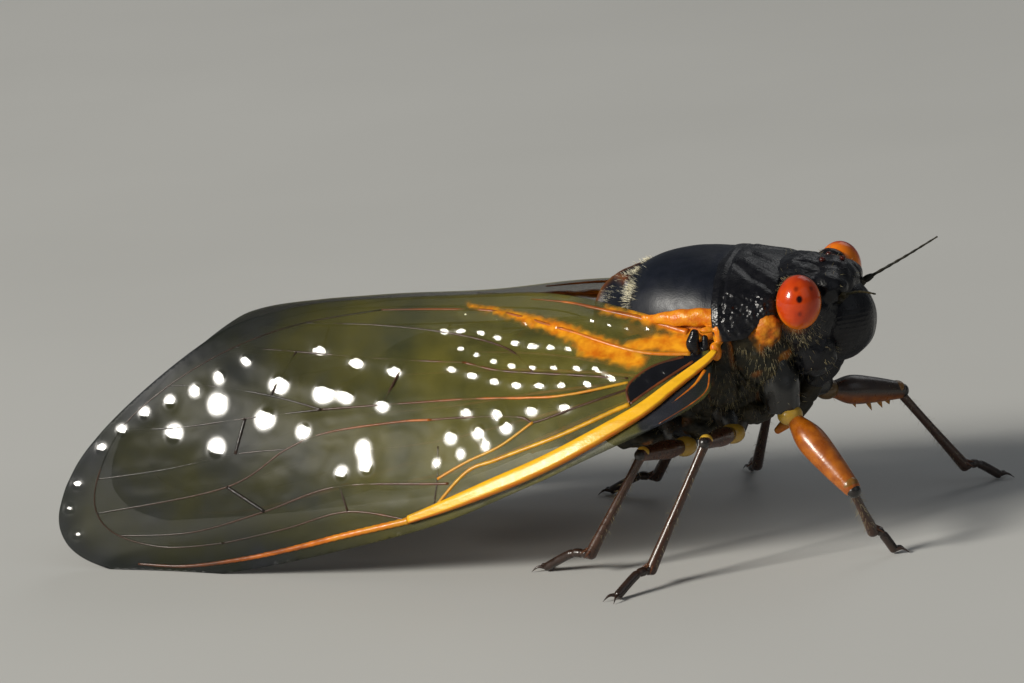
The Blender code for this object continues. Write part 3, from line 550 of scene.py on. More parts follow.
def pronotum(finish):
    """The collar plate: slanting grooves, a raised hind rim, and wrinkled lobes at its sides."""
    rows = 130
    along = np.linspace(PRONOTUM_KEYS[0][0], PRONOTUM_KEYS[-1][0], rows)
    shape = loft(arch(PRONOTUM_KEYS, rows, 190, 0.3 + 0.75 * ramp(along, 1.2, 2.2), 2.2))
    x, across, z = axes(shape)
    flat = np.stack([x, across], axis=1)
    rim = ramp(-x, -0.36, -0.2)
    lobes = ramp(across, 3.2, 3.9) * (1 - rim) * ramp(2.9 - z, 0, 0.6)
    rise = 0.04 * rim - 0.04 * bump(x, 0.42, 0.07) - 0.1 * bump(x, 2.8, 0.12)
    rise -= 0.07 * crease(flat, [(2.7, 1.75), (2, 1.1), (1.1, 0.55)], 0.22)
    rise -= 0.12 * crease(flat, [(2.35, 3), (1.5, 2.55), (0.75, 1.8)], 0.24)
    rise += (waves(shape[0], 0.5, 3) * 0.02 + waves(shape[0], 0.2, 5) * 0.012) * lobes
    rise += waves(shape[0], 1.1, 8) * 0.01 + waves(shape[0], 0.22, 9) * 0.0022
    shape = raised(shape, rise * ramp(z, 0.3, 0.6))
    orange = 0.9 * ramp(-x, -0.35, -0.1) * ramp(0.75 - z, 0, 0.3)
    piece("pronotum_shell", shape, finish, BODY, {"orange": orange}, ["pronotum"])


def mesonotum(finish):
    """The smooth back plate, with the raised cross at its rear end and sunk edges."""
    shape = loft(arch(MESONOTUM_KEYS, 150, 170, 0.3, 2.2))
    x, across, z = axes(shape)
    flat = np.stack([x, across], axis=1)
    arms = np.minimum(
        line_distance(flat, [(-5.35, 0), (-5, 0.55), (-4.5, 1.3)]),
        line_distance(flat, [(-5.35, 0), (-5.8, 0.45), (-6.2, 0.9)]),
    )
    rise = 0.26 * bump(arms, 0, 0.3) - 0.1 * crease(flat, [(-4.55, 0), (-4.5, 0.5)], 0.35)
    rise -= 0.012 * crease(flat, [(-0.4, 1), (-1.6, 1.35), (-2.6, 1.2)], 0.12)
    rise += waves(shape[0], 1.8, 11) * 0.006 - 0.1 * bump(z, 1.15, 0.14) * ramp(x, -4.8, -4.2)
    shape = raised(shape, rise * ramp(z, 0.3, 0.6))
    orange = np.maximum(ramp(1.1 - z, 0, 0.2) * ramp(x, -5, -4.4), 0.2 * bump(arms, 0, 0.16))
    return piece("mesonotum_shell", shape, finish, BODY, {"orange": orange}, ["mesonotum"])


# Bulges of one side of the thorax: centre and radii
THORAX_LUMPS = [
    ((1.3, 3.15, -0.7), (1.25, 0.75, 1.3)), ((-0.4, 3.2, -1.3), (0.95, 0.75, 1.7)),
    ((-2.2, 2.75, -1.6), (1.1, 0.6, 1.8)), ((-4.2, 2.6, -1.9), (1.1, 0.5, 1.7)),
    ((0.2, 1.3, -3.5), (1.3, 1.2, 0.75)), ((-2.4, 1.2, -4.05), (1.5, 1.25, 0.75)),
    ((-4.9, 1.5, -4.25), (1.7, 1.25, 0.55)), ((2.3, 2.55, -0.2), (0.7, 0.9, 1.3)),
    ((2.08, 3.62, 0.55), (0.68, 0.45, 0.8)), ((0.9, 3.6, 0.1), (0.9, 0.5, 0.6)),
]
THORAX_SEAMS = [
    # Lines in (x, z)
    [(0.45, 0.4), (0.4, -1), (0.9, -2.6)],
    [(-1.35, 0.2), (-1.3, -1.6), (-0.9, -3.4)],
    [(-3.2, 0.2), (-3.1, -1.8), (-2.9, -3.6)],
]


def flanks(finish):
    """Pleura, sternum and the rear collar of the thorax as one skin, with bulges and sunk seams."""
    lumps = [loft(arch(THORAX_KEYS, 60, 72, 0.5, 2.3)[:, ::-1])]
    for side in (-1, 1):
        lumps += [ball(np.array(centre) * (1, side, 1), radii) for centre, radii in THORAX_LUMPS]
    shape = blended(lumps, voxel=0.1, rounds=5)
    x, across, z = axes(shape)
    side_view = np.stack([x, z], axis=1)
    seams = np.min([line_distance(side_view, line) for line in THORAX_SEAMS], axis=0)
    rise = -0.16 * bump(seams, 0, 0.12) * ramp(across, 1.6, 2.4) + waves(shape[0], 0.9, 21) * 0.04
    rise += waves(shape[0], 0.3, 22) * 0.012
    shape = raised(shape, rise)
    lobe = norm((shape[0] - (2.1, 0, 0.55)) / (0.72, 1, 0.85) * (1, 0, 1), axis=1)
    lobe += waves(shape[0], 0.45, 24) * 0.06
    orange = np.max([
        0.8 * ramp(-lobe, -1.02, -0.72) * ramp(across, 3, 3.4),
        0.35 * ramp(waves(shape[0], 1.3, 23), 1.1, 1.7) * ramp(across, 1.8, 2.6),
        0.5 * bump(seams, 0, 0.07) * ramp(z, -1.4, -0.4) * ramp(across, 1.6, 2.4),
    ], axis=0)
    piece("thorax_skin", shape, finish, BODY, {"orange": orange}, ["thorax"])
    return shape


def abdomen(finish):
    """Overlapping rings, grooved along the sides and banded with orange at their hind edges below."""
    x = np.linspace(ABDOMEN_KEYS[0][0], ABDOMEN_KEYS[-1][0] + 0.3, 240)
    half, top, bottom = smooth(ABDOMEN_KEYS, x).T[..., None]
    shape = loft(hoops(x, half, (top + bottom) / 2, (top - bottom) / 2, circle(90), 2.15))
    x, across, z = axes(shape)
    behind = x[:, None] - ABDOMEN_JOINTS
    step = np.where(behind >= 0, behind, 99).min(1)
    rise = 0.1 * np.exp(-step / 0.35) - 0.1 * np.where(behind < 0, np.exp(behind / 0.12), 0).max(1)
    rise += waves(shape[0], 0.5, 31) * 0.012 - 0.12 * bump(z, -2.6, 0.25) * ramp(across, 1.5, 2.2)
    shape = raised(shape, rise)
    orange = np.exp(-((step / 0.42) ** 2)) * (0.25 + 0.75 * ramp(-z, 2.2, 3.2)) * ramp(x, -20.5, -19)
    piece("abdomen_skin", shape, finish, BODY, {"orange": orange}, ["abdomen"])


# Head


def head_skin(finish):
    lumps = [
        ball((2.9, 0, 0.55), (2.2, 3.4, 2.42)),
        ball((4.25, 0, 1.4), (1.28, 1.68, 1.33)),
        limb([(3.7, 0, -1.3, 0.98), (3.35, 0, -2.1, 0.83), (3, 0, -2.7, 0.52)], 24),
    ]
    for side in (-1, 1):
        lumps += [
            ball((4.5, side * 1.4, 1.5), (0.88, 0.88, 0.78)),
            ball((3.5, side * 1.7, -1.1), (1.12, 1.03, 1.18)),
            ball((3.55, side * 3, 1.35), (0.92, 0.72, 1.18)),
            ball((3.95, side * 1.45, -1.2), (0.55, 0.42, 0.9)),
        ]
    shape = blended(lumps, voxel=0.085, rounds=5)
    x, across, z = axes(shape)
    top = np.stack([x, across], axis=1)
    rise = waves(shape[0], 0.7, 41) * 0.018 + waves(shape[0], 0.26, 42) * 0.005
    rise -= 0.07 * crease(top, [(2.6, 0), (5, 0)], 0.1) * ramp(z, 1.9, 2.3)
    rise -= 0.06 * crease(top, [(3.2, 1.1), (4.9, 0.75)], 0.16) * ramp(z, 1.7, 2.2)
    shape = raised(shape, rise)
    socket = norm((shape[0] - (3.7, 0, 1.4)) * (1, 0, 1), axis=1)
    orange = 0.4 * bump(socket, 1.3, 0.16) * ramp(across, 2.7, 3.1) * ramp(-x, -3.9, -3.2)
    piece("head_skin", shape, finish, HEAD, {"orange": orange}, ["head"])
    return shape


def face_plate(finish):
    """The swollen face with its fine cross ridges, smooth along its middle line."""
    points, faces = ball((0, 0, 0), 1, rings=170, sides=96)
    x, y, z = points.T
    across = np.abs(y)
    ridge = np.sin(z * math.tau * 9.5 - across * 2)
    mask = ramp(across, 0.3, 0.55) * ramp(x, 0.05, 0.3) * ramp(0.62 - np.abs(z + 0.15), 0, 0.2)
    swell = 1 + 0.0035 * ridge * mask - 0.012 * bump(y, 0, 0.07) * ramp(x, 0.1, 0.45)
    swell += 0.003 * waves(points, 0.6, 44)
    points = points * (1.9, 1.72, 1.95) * swell[:, None] + (4.22, 0, -0.05)
    piece("face_plate", (points, faces), finish, HEAD, {"orange": 0})


# Dark spots in the eye as (direction on its unit sphere, outer and inner width, strength)
EYE_SPOTS = [
    ((0.265, 0.925, 0.283), 0.17, 0.1, 1),
    ((0.07, 0.775, 0.627), 0.16, 0.04, 0.6),
    ((0.65, 0.41, 0.6), 0.15, 0.04, 0.55),
    ((0.29, 0.93, -0.264), 0.14, 0.03, 0.55),
]


def eyes(finish):
    """Compound eyes with their dark false pupils, and three bead-like simple eyes."""
    turn = np.array(Matrix.Rotation(EYE_LEAN, 3, "Y")).T
    around, faces = ball((0, 0, 0), 1, rings=90, sides=120)
    for side, word in SIDES:
        centre = (EYE_CENTRE.x, -side * EYE_CENTRE.y, EYE_CENTRE.z)
        shape = (around * EYE_RADII) @ turn + centre, faces
        pupil = np.zeros(len(around))
        for spot, outer, inner, strength in EYE_SPOTS:
            away = norm(around - unit(spot) * (1, side, 1), axis=1)
            pupil = np.maximum(pupil, strength * (1 - ramp(away, inner, outer)))
        rim = ramp(0.5 - around @ (0.1, side * 0.9, 0.42), 0, 0.55)
        piece(f"eye_ball_{word}", shape, finish, HEAD, {"pupil": pupil, "rim": rim}, [f"eye_{word}"])
    centres = ((4.95, 0, 2.54), (4.2, 0.6, 2.67), (4.2, -0.6, 2.67))
    beads = join([ball(centre, (0.14, 0.14, 0.12)) for centre in centres])
    piece("simple_eyes", beads, finish, HEAD, {"pupil": 0.93, "rim": 0})


def feelers(finish):
    """Bristle antennae on two thick joints each, and the jointed beak under the head."""
    for word, root, way in (
        ("left", (4.95, 1.45, 0.95), [(5.9, 1.8, 1.35), (7.3, 2.15, 1.95), (8.7, 2.5, 2.6)]),
        ("right", (4.95, -1.55, 1.15), [(5.6, -2.15, 1.45), (6.4, -3.05, 1.7), (7.25, -3.95, 1.75)]),
    ):
        base, out = np.array(root), np.subtract(way[0], root)
        first, second, bristle = (
            [(*(base + out * share), radius) for share, radius in joint]
            for joint in (
                ((0, 0.26), (0.32, 0.22), (0.4, 0.18)),
                ((0.42, 0.14), (0.62, 0.16), (0.8, 0.12)),
                ((0.75, 0.07),),
            )
        )
        bristle += sized(way, np.linspace(0.07, 0.022, 4))
        ribbed = limb(bristle, 10, 0.06, ripple=lambda s: 1 + 0.13 * np.sin(s * math.tau / RIB_SPACING))
        shape = join([limb(first, 16, 0.06), limb(second, 16, 0.05), ribbed])
        piece(f"feeler_{word}", shape, finish, BODY, {"orange": 0}, [f"antenna_{word}"])
    path = [(3, 0, -2.65, 0.5), (2.4, 0, -3.6, 0.44), (1.7, 0, -4.4, 0.34), (0.9, 0, -5, 0.16)]
    shape = limb(path, 24, 0.08, ripple=lambda s: 1 - 0.14 * bump(s, 1.1, 0.07) - 0.1 * bump(s, 2.2, 0.07))
    orange = 0.7 * ramp(-shape[0][:, 2], 4.3, 4.9)
    piece("beak_sheath", shape, finish, BODY, {"orange": orange}, ["beak"])


# Wings

WING_OUTLINE = [
    # p along the wing from its root, q across it, towards the inner edge
    (0.2, -0.6), (0.3, -2.1), (1.2, -2.85), (2.7, -3.4), (4.3, -3.6), (8.7, -4.5), (15.4, -4.7),
    (27.5, -3.75), (31.7, -2.2), (33.1, -0.35), (32.1, 1.75), (29.5, 3.75), (24.25, 6.3), (21.9, 7.05),
    (19.1, 7.25), (16.5, 6.95), (9.6, 5.6), (6.4, 4.45), (3.3, 2.7), (1.2, 1.5), (0.5, 0.6),
]
HINDWING_OUTLINE = [
    (1.9, -0.95), (6, -1.85), (11, -2.7), (15.5, -2.5), (18.6, -1.3), (19.7, 0.6), (18.6, 2.6),
    (15.5, 4), (11.5, 4.1), (8, 2.9), (5, 1.45), (2.3, 0.25),
]
# The front vein, with its half width at each point
COSTA = [
    (0, -0.12), (0.45, -0.6), (1.8, -1.55), (3.5, -2.6), (6, -3.42), (8.6, -3.95),
    (11.3, -4.15), (15.3, -4.2),
]
COSTA_HALF_WIDTHS = (0.16, 0.24, 0.31, 0.37, 0.42, 0.43, 0.4, 0.2)
BORDER = [
    (25, -2.7), (28, -2.2), (30.2, -1.15), (31, 0.1), (30.5, 1.6), (28.7, 3.5), (25.9, 4.85),
    (22.5, 5.85), (19.2, 6.3), (15.6, 6.1),
]
MEDIA = [(3.95, -1.3), (7.1, -1.75), (8.5, -1.86), (9.15, -1.46), (12, -0.65), (13.4, -0.3)]
FRONT_EDGE = [COSTA[-1], (18.8, -3.95), (21.5, -3.8), (24.3, -3.6), (27.3, -3.25), (29.7, -2.6)]
MEDIA_FRONT = [MEDIA[-1], (15, 0.1), (18.4, 0.6), (20.6, 0.45), (24, -0.35), BORDER[3]]
MEDIA_BACK = [(3.9, -0.95), (6.6, -0.96), (8.7, -0.64), (12.4, 0.33), (15.6, 1.1), (18.6, 1.75)]
CLAVAL = [(1.1, 0), (3.6, 0.65), (6.9, 2.6), (10.1, 4.5), (12.6, 5.35), BORDER[9]]
# Each vein: its points, radius at its start and end, and its tone at its start and end
FOREWING_VEINS = {
    "front_edge": (FRONT_EDGE, 0.17, 0.06, 0.2, 0.7),
    "lobe": ([(0.3, -1.2), (0.45, -2.1), (1.25, -2.7), (2.65, -3.3)], 0.05, 0.04, 0.42, 0.6),
    "lobe_middle": ([(0.5, -1), (1, -1.7), (2, -2.4)], 0.1, 0.03, 0.3, 0.4),
    "cell_front": ([(1, -0.42), (2.4, -1.2), (3.9, -2.05)], 0.08, 0.07, 0.6, 0.6),
    "cell_back": ([(1.4, -0.1), (2.87, -0.36), (3.93, -1.13), (3.9, -2.05)], 0.07, 0.07, 0.6, 0.6),
    "radius": ([(3.9, -2.05), (7.2, -2.75), (10.3, -3.03), (12, -3.1), (14, -4.1)], 0.12, 0.08, 0.1, 0.16),
    "second_line": ([(8.5, -1.86), (10.2, -2.5), (12, -2.7), (13.5, -2.95)], 0.07, 0.07, 0.14, 0.2),
    "sector": ([(13, -3.3), (18.3, -1.9), (22.4, -1.9), (26.5, -1.85), BORDER[2]], 0.06, 0.045, 0.6, 0.95),
    "second_radius": ([COSTA[-1], (18.2, -3.05), (21.5, -2.9), BORDER[0]], 0.055, 0.045, 0.6, 0.95),
    "media": (MEDIA, 0.06, 0.055, 0.75, 0.6),
    "media_front": (MEDIA_FRONT, 0.06, 0.045, 0.45, 0.98),
    "media_second": ([(20.6, 0.45), (23.2, 0.95), (27, 1.2), BORDER[4]], 0.045, 0.04, 0.95, 1),
    "media_back": (MEDIA_BACK, 0.07, 0.05, 0.14, 0.8),
    "media_third": ([(18.6, 1.75), (22.4, 2.4), (26, 2.9), BORDER[5]], 0.05, 0.04, 0.9, 1),
    "media_fourth": ([(18.6, 1.75), (21, 3.1), (23.8, 4.3), BORDER[6]], 0.045, 0.04, 0.95, 1),
    "cubitus": ([(3.9, -0.75), (6.5, 0), (8.3, 0.52), (10.1, 1.15), (11.6, 2)], 0.07, 0.06, 0.72, 0.6),
    "cubitus_front": ([(11.6, 2), (15.5, 3.4), (19.6, 4.9), BORDER[7]], 0.055, 0.04, 0.6, 1),
    "cubitus_back": ([(8.3, 0.52), (9.6, 2.2), (12.4, 3.9), (15.8, 5.3), BORDER[8]], 0.05, 0.04, 0.7, 0.98),
    "claval": (CLAVAL, 0.11, 0.05, 0.24, 0.6),
    "anal": ([(1.2, 1.2), (3.2, 2.35), (4.9, 3.2), (6.6, 4.1), (8.6, 4.9)], 0.17, 0.03, 0.36, 0.5),
    "border": (BORDER, 0.045, 0.045, 0.98, 0.85),
    "cross_radial": ([(18.2, -3.05), (18.3, -1.9)], 0.06, 0.06, 0.85, 0.85),
    "cross_w_front": ([(22.4, -1.9), (24, -0.35)], 0.09, 0.09, 0.98, 0.98),
    "cross_w_back": ([(23.2, 0.95), (22.4, 2.4)], 0.09, 0.09, 0.98, 0.98),
    "cross_middle": ([(15.6, 1.1), (14.4, 2.9)], 0.06, 0.06, 0.8, 0.8),
    "cross_cubital": ([(21, 3.1), (19.6, 4.9)], 0.06, 0.06, 0.9, 0.9),
    "break": ([(14, -4.1), (13.5, -2.95), (13.2, -1.6)], 0.05, 0.04, 0.9, 0.9),
}
# Rows of puckers in the film: the row's line, how many there are, how wide and how curved each is
PUCKERS = [
    ([(12.6, 4.05), (10.8, 3.4), (9, 2.25), (6.55, 1.35)], 8, 0.36, 0.26),
    ([(11.8, 2.85), (9.5, 1.2), (7.2, 0.55), (5.35, 0)], 8, 0.36, 0.26),
    ([(12.2, 1.9), (9.45, 0.3), (6.3, -0.5), (4.6, -0.6)], 8, 0.36, 0.26),
    ([(11.6, -0.5), (10.3, -1), (6.9, -1.5)], 4, 0.36, 0.26),
    ([(12.5, -1.4), (9.8, -1.75)], 3, 0.38, 0.26),
    ([(13.4, -2.3), (10.9, -2.3)], 3, 0.26, 0.34),
    ([(5.5, 2.75), (4.1, 2), (3, 1.75)], 4, 0.28, 0.34),
    ([(11.6, 4.7), (9.3, 3.6), (7.2, 2.75)], 4, 0.25, 0.45),
    ([(3, -1.05), (2.3, -0.75)], 2, 0.2, 0.6),
    ([(18.5, 4.7), (16.9, 3.65), (14.9, 2.6)], 3, 0.5, 0.16),
    ([(23.6, 3.4), (20.5, 3.55)], 2, 0.6, 0.1),
    ([(21.4, 2.1), (18.4, 2.5)], 2, 0.6, 0.1),
    ([(17.25, 2), (15.6, 1.1)], 2, 0.42, 0.18),
    ([(26.1, 2.65), (24.1, 1.45)], 2, 0.55, 0.12),
    ([(19.6, 1), (16.8, -0.6)], 2, 0.45, 0.2),
    ([(18.1, -1.4), (16.8, -1.5)], 2, 0.4, 0.3),
    ([(22, 5.1), (24.7, 4.3), (27.4, 3.9), (29.9, 2.9)], 7, 0.35, 0.35),
    ([(31.6, 1.6), (32.3, 0.6), (32.3, -0.6)], 3, 0.35, 0.35),
]
# Amber stains in the film: each a line and its half width at the start and end
AMBER = [
    ([(1.1, 1.25), (3.3, 2.45), (4.9, 3.2)], 0.4, 0.2),
    ([(1.2, 0.55), (2.6, 0.9), (3.9, 0.9)], 0.62, 0.3),
    ([(3.5, 0.1), (4.6, 0.75), (5.6, 1.35)], 0.45, 0.65),
    ([(5.4, 1.2), (6.6, 2.3), (9.5, 4.15), (11.5, 5.3)], 0.5, 0.1),
]
# The black cell at the root, and the strip of painted shade below it
BASAL_CELL = [(0.6, 0.15), (1.45, 0), (2.87, -0.36), (3.93, -1.13), (3.93, -2), (2.46, -1.3), (0.6, -0.45)]
PAINTED_SHADE_STRIP = [(0.4, -1.1), (1.4, -2.2), (3, -3.1)]
HINDWING_VEINS = {
    "costa": ([(2.4, -0.8), (6, -1.55), (11, -2.35), (15.4, -2.15)], 0.16, 0.08, 0.15, 0.5),
    "radius": ([(2.4, -0.4), (7, -0.9), (12.5, -0.9), (17.6, -0.2)], 0.1, 0.06, 0.3, 0.6),
    "media": ([(2.4, -0.4), (7.5, 0.1), (12.5, 0.6), (17.4, 1.5)], 0.1, 0.06, 0.3, 0.6),
    "cubitus": ([(2.4, -0.4), (6, 0.7), (10.5, 1.9), (15.2, 2.9)], 0.1, 0.06, 0.3, 0.6),
    "anal": ([(2.4, -0.4), (5, 0.9), (8.2, 2.2), (11.6, 3.2)], 0.1, 0.06, 0.3, 0.6),
}


def wing_surface(flat, lift, side=-1):
    """Points of a wing from (p, q) rows and heights out of its face. side is -1 for the right one."""
    p, q = np.asarray(flat, float).T
    axis_y, lean, share = smooth(WING_SET, p).T
    lean = np.radians(lean)[:, None]
    along = np.array((-math.cos(WING_DROOP), 0, -math.sin(WING_DROOP)))
    up = np.array((-math.sin(WING_DROOP), 0, math.cos(WING_DROOP)))
    sideways = np.array((0, 1, 0))
    across = np.sin(lean) * sideways + np.cos(lean) * up
    outward = np.sin(lean) * up - np.cos(lean) * sideways
    rise = lift + WING_ARCH * share * (1 - ((q - ARCH_MIDDLE) / ARCH_HALF) ** 2)
    points = axis_y[:, None] * sideways + p[:, None] * along + q[:, None] * across + rise[:, None] * outward
    return points * (1, -side, 1)


def above_floor(points, clearance=0):
    """Body points with what would reach below the floor raised to it."""
    low = placed(points, BODY)
    low[:, 2] = np.maximum(low[:, 2], clearance)
    return placed(low, BODY.inverted())


def pucker_tilt(centre):
    """The film's slope along p and q at which it mirrors the key light to the photograph's viewpoint."""
    steps = np.array([(0.05, 0), (-0.05, 0), (0, 0.05), (0, -0.05)])
    ahead, behind, inner, outer = wing_surface(centre + steps, 0)
    along, across = unit(ahead - behind), unit(inner - outer)
    outward = unit(np.cross(across, along))
    middle = unit(bearing(KEY_AZIMUTH, KEY_ELEVATION) + bearing(CAMERA_AZIMUTH, CAMERA_ELEVATION))
    middle = np.array(Matrix.Rotation(BODY_PITCH, 3, "Y")) @ middle
    if outward @ middle < 0:
        outward = -outward
    return -np.array((middle @ along, middle @ across)) / (middle @ outward)


def pucker_slopes(points, centres, tilts, sizes, curves):
    """The film's slope at some points from all its puckers."""
    offset = points[:, None] - centres[None]
    window = np.exp(-(offset**2).sum(2) / (2 * sizes**2))
    height = (offset * tilts).sum(2) + curves * sizes**2
    return (window[..., None] * (tilts - offset * (height / sizes**2)[..., None])).sum(1)


def crinkle(flat, pinned, rows):
    """How far gentle waves and steeper puckers move the film out of its plane, and how glossy it is."""
    quiet = waves(flat, (1.6, 1.4), 53) * 0.01 + waves(flat, 0.7, 54) * 0.003
    height, calm = np.zeros(len(flat)), np.ones(len(flat))
    if rows:
        centres = []
        for path, count, *_ in rows:
            way = curve_points(path, 0.05)
            centres.append(way[np.linspace(0, len(way) - 1, count).round().astype(int)])
        centres = np.vstack(centres)
        sizes, curves = np.repeat([row[2:] for row in rows], [row[1] for row in rows], axis=0).T
        wanted = np.array([pucker_tilt(centre) for centre in centres])
        tilts = wanted.copy()
        for _ in range(SLOPE_ROUNDS):
            tilts += 0.5 * (wanted - pucker_slopes(centres, centres, tilts, sizes, curves))
        for centre, tilt, size, curve in zip(centres, tilts, sizes, curves):
            offset = flat - centre
            window = np.exp(-(offset**2).sum(1) / (2 * size**2))
            height += (offset @ tilt + curve * size**2) * window
            calm *= 1 - window
    return quiet * pinned * calm + height, ramp(1 - calm, 0.5, 0.8)


def stains(flat, painted_shade, gloss):
    """Paint of a forewing's film: its amber and black, and the painted shade and gloss changed by them."""
    amber = np.zeros(len(flat))
    blur = waves(flat, 0.5, 55) * 0.05
    for path, first, last in AMBER:
        stain = curve_points(path, 0.2)
        nearest = norm(flat[:, None] - stain, axis=2)
        half = np.linspace(first, last, len(stain))[nearest.argmin(1)]
        amber = np.maximum(amber, ramp(half + blur - nearest.min(1), -0.16, 0.22))
    beside = line_distance(flat, BASAL_CELL + BASAL_CELL[:1])
    black = np.where(inside(flat, np.array(BASAL_CELL)), 1, 1 - ramp(beside, 0, 0.1))
    # Painted shade along the strip below the black cell
    painted_shade = np.maximum(painted_shade, 1 - ramp(line_distance(flat, PAINTED_SHADE_STRIP), 0.5, 0.8))
    return {"painted_shade": painted_shade, "amber": amber, "black": black, "gloss": np.maximum(gloss, 0.9 * black)}


def sheet(outline, veins, spacing, puckers):
    """A wing's film laid flat: its points, triangles, heights and paint."""
    edge = curve_points(outline, spacing * 1.3, closed=True)
    closed_edge = np.vstack([edge, edge[:1]])
    low, high = edge.min(0), edge.max(0)
    rows = []
    for k, q in enumerate(np.arange(low[1], high[1], spacing * 0.87)):
        p = np.arange(low[0] + (k % 2) * spacing / 2, high[0], spacing)
        rows.append(np.stack([p, np.full(len(p), q)], axis=1))
    field = np.vstack(rows)
    field = field[inside(field, edge)]
    field = field[line_distance(field, closed_edge) > spacing * 0.6]
    points = [Vector(p) for p in np.vstack([edge, field])]
    found, _, triangles, *_ = delaunay_2d_cdt(points, [], [list(range(len(edge)))], 1, 1e-5, False)
    flat = np.array([tuple(v) for v in found])
    away = np.min([line_distance(flat, curve_points(path, 0.5)) for path, *_ in veins.values()], axis=0)
    rim = line_distance(flat, closed_edge)
    height, gloss = crinkle(flat, ramp(away, 0.05, 0.45) * ramp(rim, 0, 0.5), puckers)
    # Painted shade: the film darker and less clear towards the tip and along its edge, for the shaded
    # ground seen through it.
    painted_shade = ramp(flat[:, 0], 9, 24) * 0.85 + 0.15 * ramp(-rim, -1.6, -0.2)
    clear = np.zeros(len(flat))
    paint = {"painted_shade": painted_shade, "amber": clear, "black": clear, "gloss": gloss}
    if puckers:
        paint = stains(flat, painted_shade, gloss)
    return flat, triangles, height, paint


def film(name, drawn, depth, side, finish, solid):
    """A wing's film as a thin closed skin."""
    flat, triangles, height, paint = drawn
    outer = wing_surface(flat, height + MEMBRANE_HALF - depth, side)
    inner = wing_surface(flat, height - MEMBRANE_HALF - depth, side)
    count = len(flat)
    faces = [tuple(t) for t in triangles] + [tuple(count + i for i in reversed(t)) for t in triangles]
    edges = {(a, b) for t in triangles for a, b in zip(t, (*t[1:], t[0]))}
    faces += [(b, a, count + a, count + b) for a, b in edges if (b, a) not in edges]
    if side > 0:
        faces = [face[::-1] for face in faces]
    shape = above_floor(np.vstack([outer, inner]), FILM_CLEARANCE), faces
    paint = {word: np.tile(values, 2) for word, values in paint.items()}
    piece(name, shape, finish, BODY, paint, [solid])


def band(way, lift, side, wide, tall):
    """A closed band along rows (p, q, half width) of a wing, with the given cross-section."""
    centres = wing_surface(way[:, :2], lift, side)
    outward = wing_surface(way[:, :2], 1 + lift, side) - centres
    aside = np.cross(tangents(centres), outward)
    section = aside[:, None] * wide[:, None] + outward[:, None] * tall[:, None]
    return loft(centres[:, None] + way[:, 2, None, None] * section)


def vein_net(name, veins, depth, side, finish):
    """The veins of a wing as tubes along its face, ribbed by fine rings."""
    turns = circle(10)
    shapes, tones = [], []
    for path, first, last, tone_first, tone_last in veins.values():
        way = curve_points(sized(path, np.linspace(first, last, len(path))), VEIN_SPACING)
        way[:, 2] *= 1 + 0.07 * np.sin(np.arange(len(way)) * VEIN_SPACING * math.tau / RIB_SPACING)
        shape = band(way, -depth, side, np.cos(turns), 0.8 * np.sin(turns))
        shapes.append(shape)
        x = shape[0][:, 0]
        tones.append(tone_first + (tone_last - tone_first) * (x.max() - x) / (x.max() - x.min()))
    points, faces = join(shapes)
    piece(name, (above_floor(points), faces), finish, BODY, {"tone": np.concatenate(tones)})


def costa_band(side, word, finish):
    """The thick bright front vein: a broad flattened band with darker edges."""
    way = curve_points(sized(COSTA, COSTA_HALF_WIDTHS), 0.12)
    turns = circle(28)
    wide, tall = np.cos(turns), np.sin(turns) * (0.62 + 0.1 * np.cos(3 * turns))
    points, faces = band(way, 0.12, side, wide * side, tall)
    tone = np.tile(0.3 * ramp(wide, 0.7, 0.95) + 0.3 * ramp(-wide, 0.75, 0.97), len(way))
    tone = np.append(tone, [0.3, 0.3]) + 0.14 * ramp(-points[:, 0], 12, 15.5)
    piece(f"front_vein_{word}", (points, faces), finish, BODY, {"tone": tone})


def wing_roots(side, word, finish):
    """The hard little plates where a forewing meets the thorax, and the ledge of the back above it."""
    mirror = np.array((1, side, 1))
    ledge = [(0, 3.95, 1.3, 0.27), (-1.2, 3.85, 1.38, 0.27), (-2.4, 3.6, 1.36, 0.2), (-3.5, 3.2, 1.35, 0.1)]
    first = [(-0.85, 4.6, 0.85, 0.2), (-1, 4.62, 0.3, 0.3), (-0.8, 4.6, -0.15, 0.2)]
    second = [(-0.45, 4.45, 0.6, 0.14), (-0.5, 4.5, 0, 0.22)]
    golden = [limb(np.array(ledge) * (1, side, 1, 1), 20, 0.08, 1.5)]
    golden += [ball(mirror * centre, radii) for centre, radii in (
        ((0.15, 4.3, 0.62), (0.24, 0.24, 0.5)),
        ((-0.05, 4.5, -0.1), (0.26, 0.24, 0.42)),
        ((-0.35, 4.35, 0.85), (0.35, 0.2, 0.16)),
    )]
    dark = [limb(np.array(path) * (1, side, 1, 1), 18, 0.08) for path in (first, second)]
    for name, lumps, share in (("ledge", golden, 1), ("joint", dark, 0)):
        shape = blended(lumps, voxel=0.05, rounds=9)
        shape = raised(shape, waves(shape[0] * mirror, 0.8, 61) * 0.014)
        orange = share * ramp(waves(shape[0] * mirror, 0.8, 62), -2.2, -1.2)
        piece(f"wing_{name}_{word}", shape, finish, BODY, {"orange": orange})


def wings(film_finish, veins_finish, shell_finish):
    fore = sheet(WING_OUTLINE, FOREWING_VEINS, FILM_SPACING, PUCKERS)
    hind = sheet(HINDWING_OUTLINE, HINDWING_VEINS, HINDWING_SPACING, [])
    for side, word in SIDES:
        film(f"forewing_film_{word}", fore, 0, side, film_finish, f"forewing_{word}")
        solid = f"hindwing_{word}"
        film(f"hindwing_film_{word}", hind, HINDWING_DEPTH, side, film_finish, solid)
        vein_net(f"forewing_veins_{word}", FOREWING_VEINS, 0, side, veins_finish)
        vein_net(f"hindwing_veins_{word}", HINDWING_VEINS, HINDWING_DEPTH, side, veins_finish)
        costa_band(side, word, veins_finish)
        wing_roots(side, word, shell_finish)


# Legs

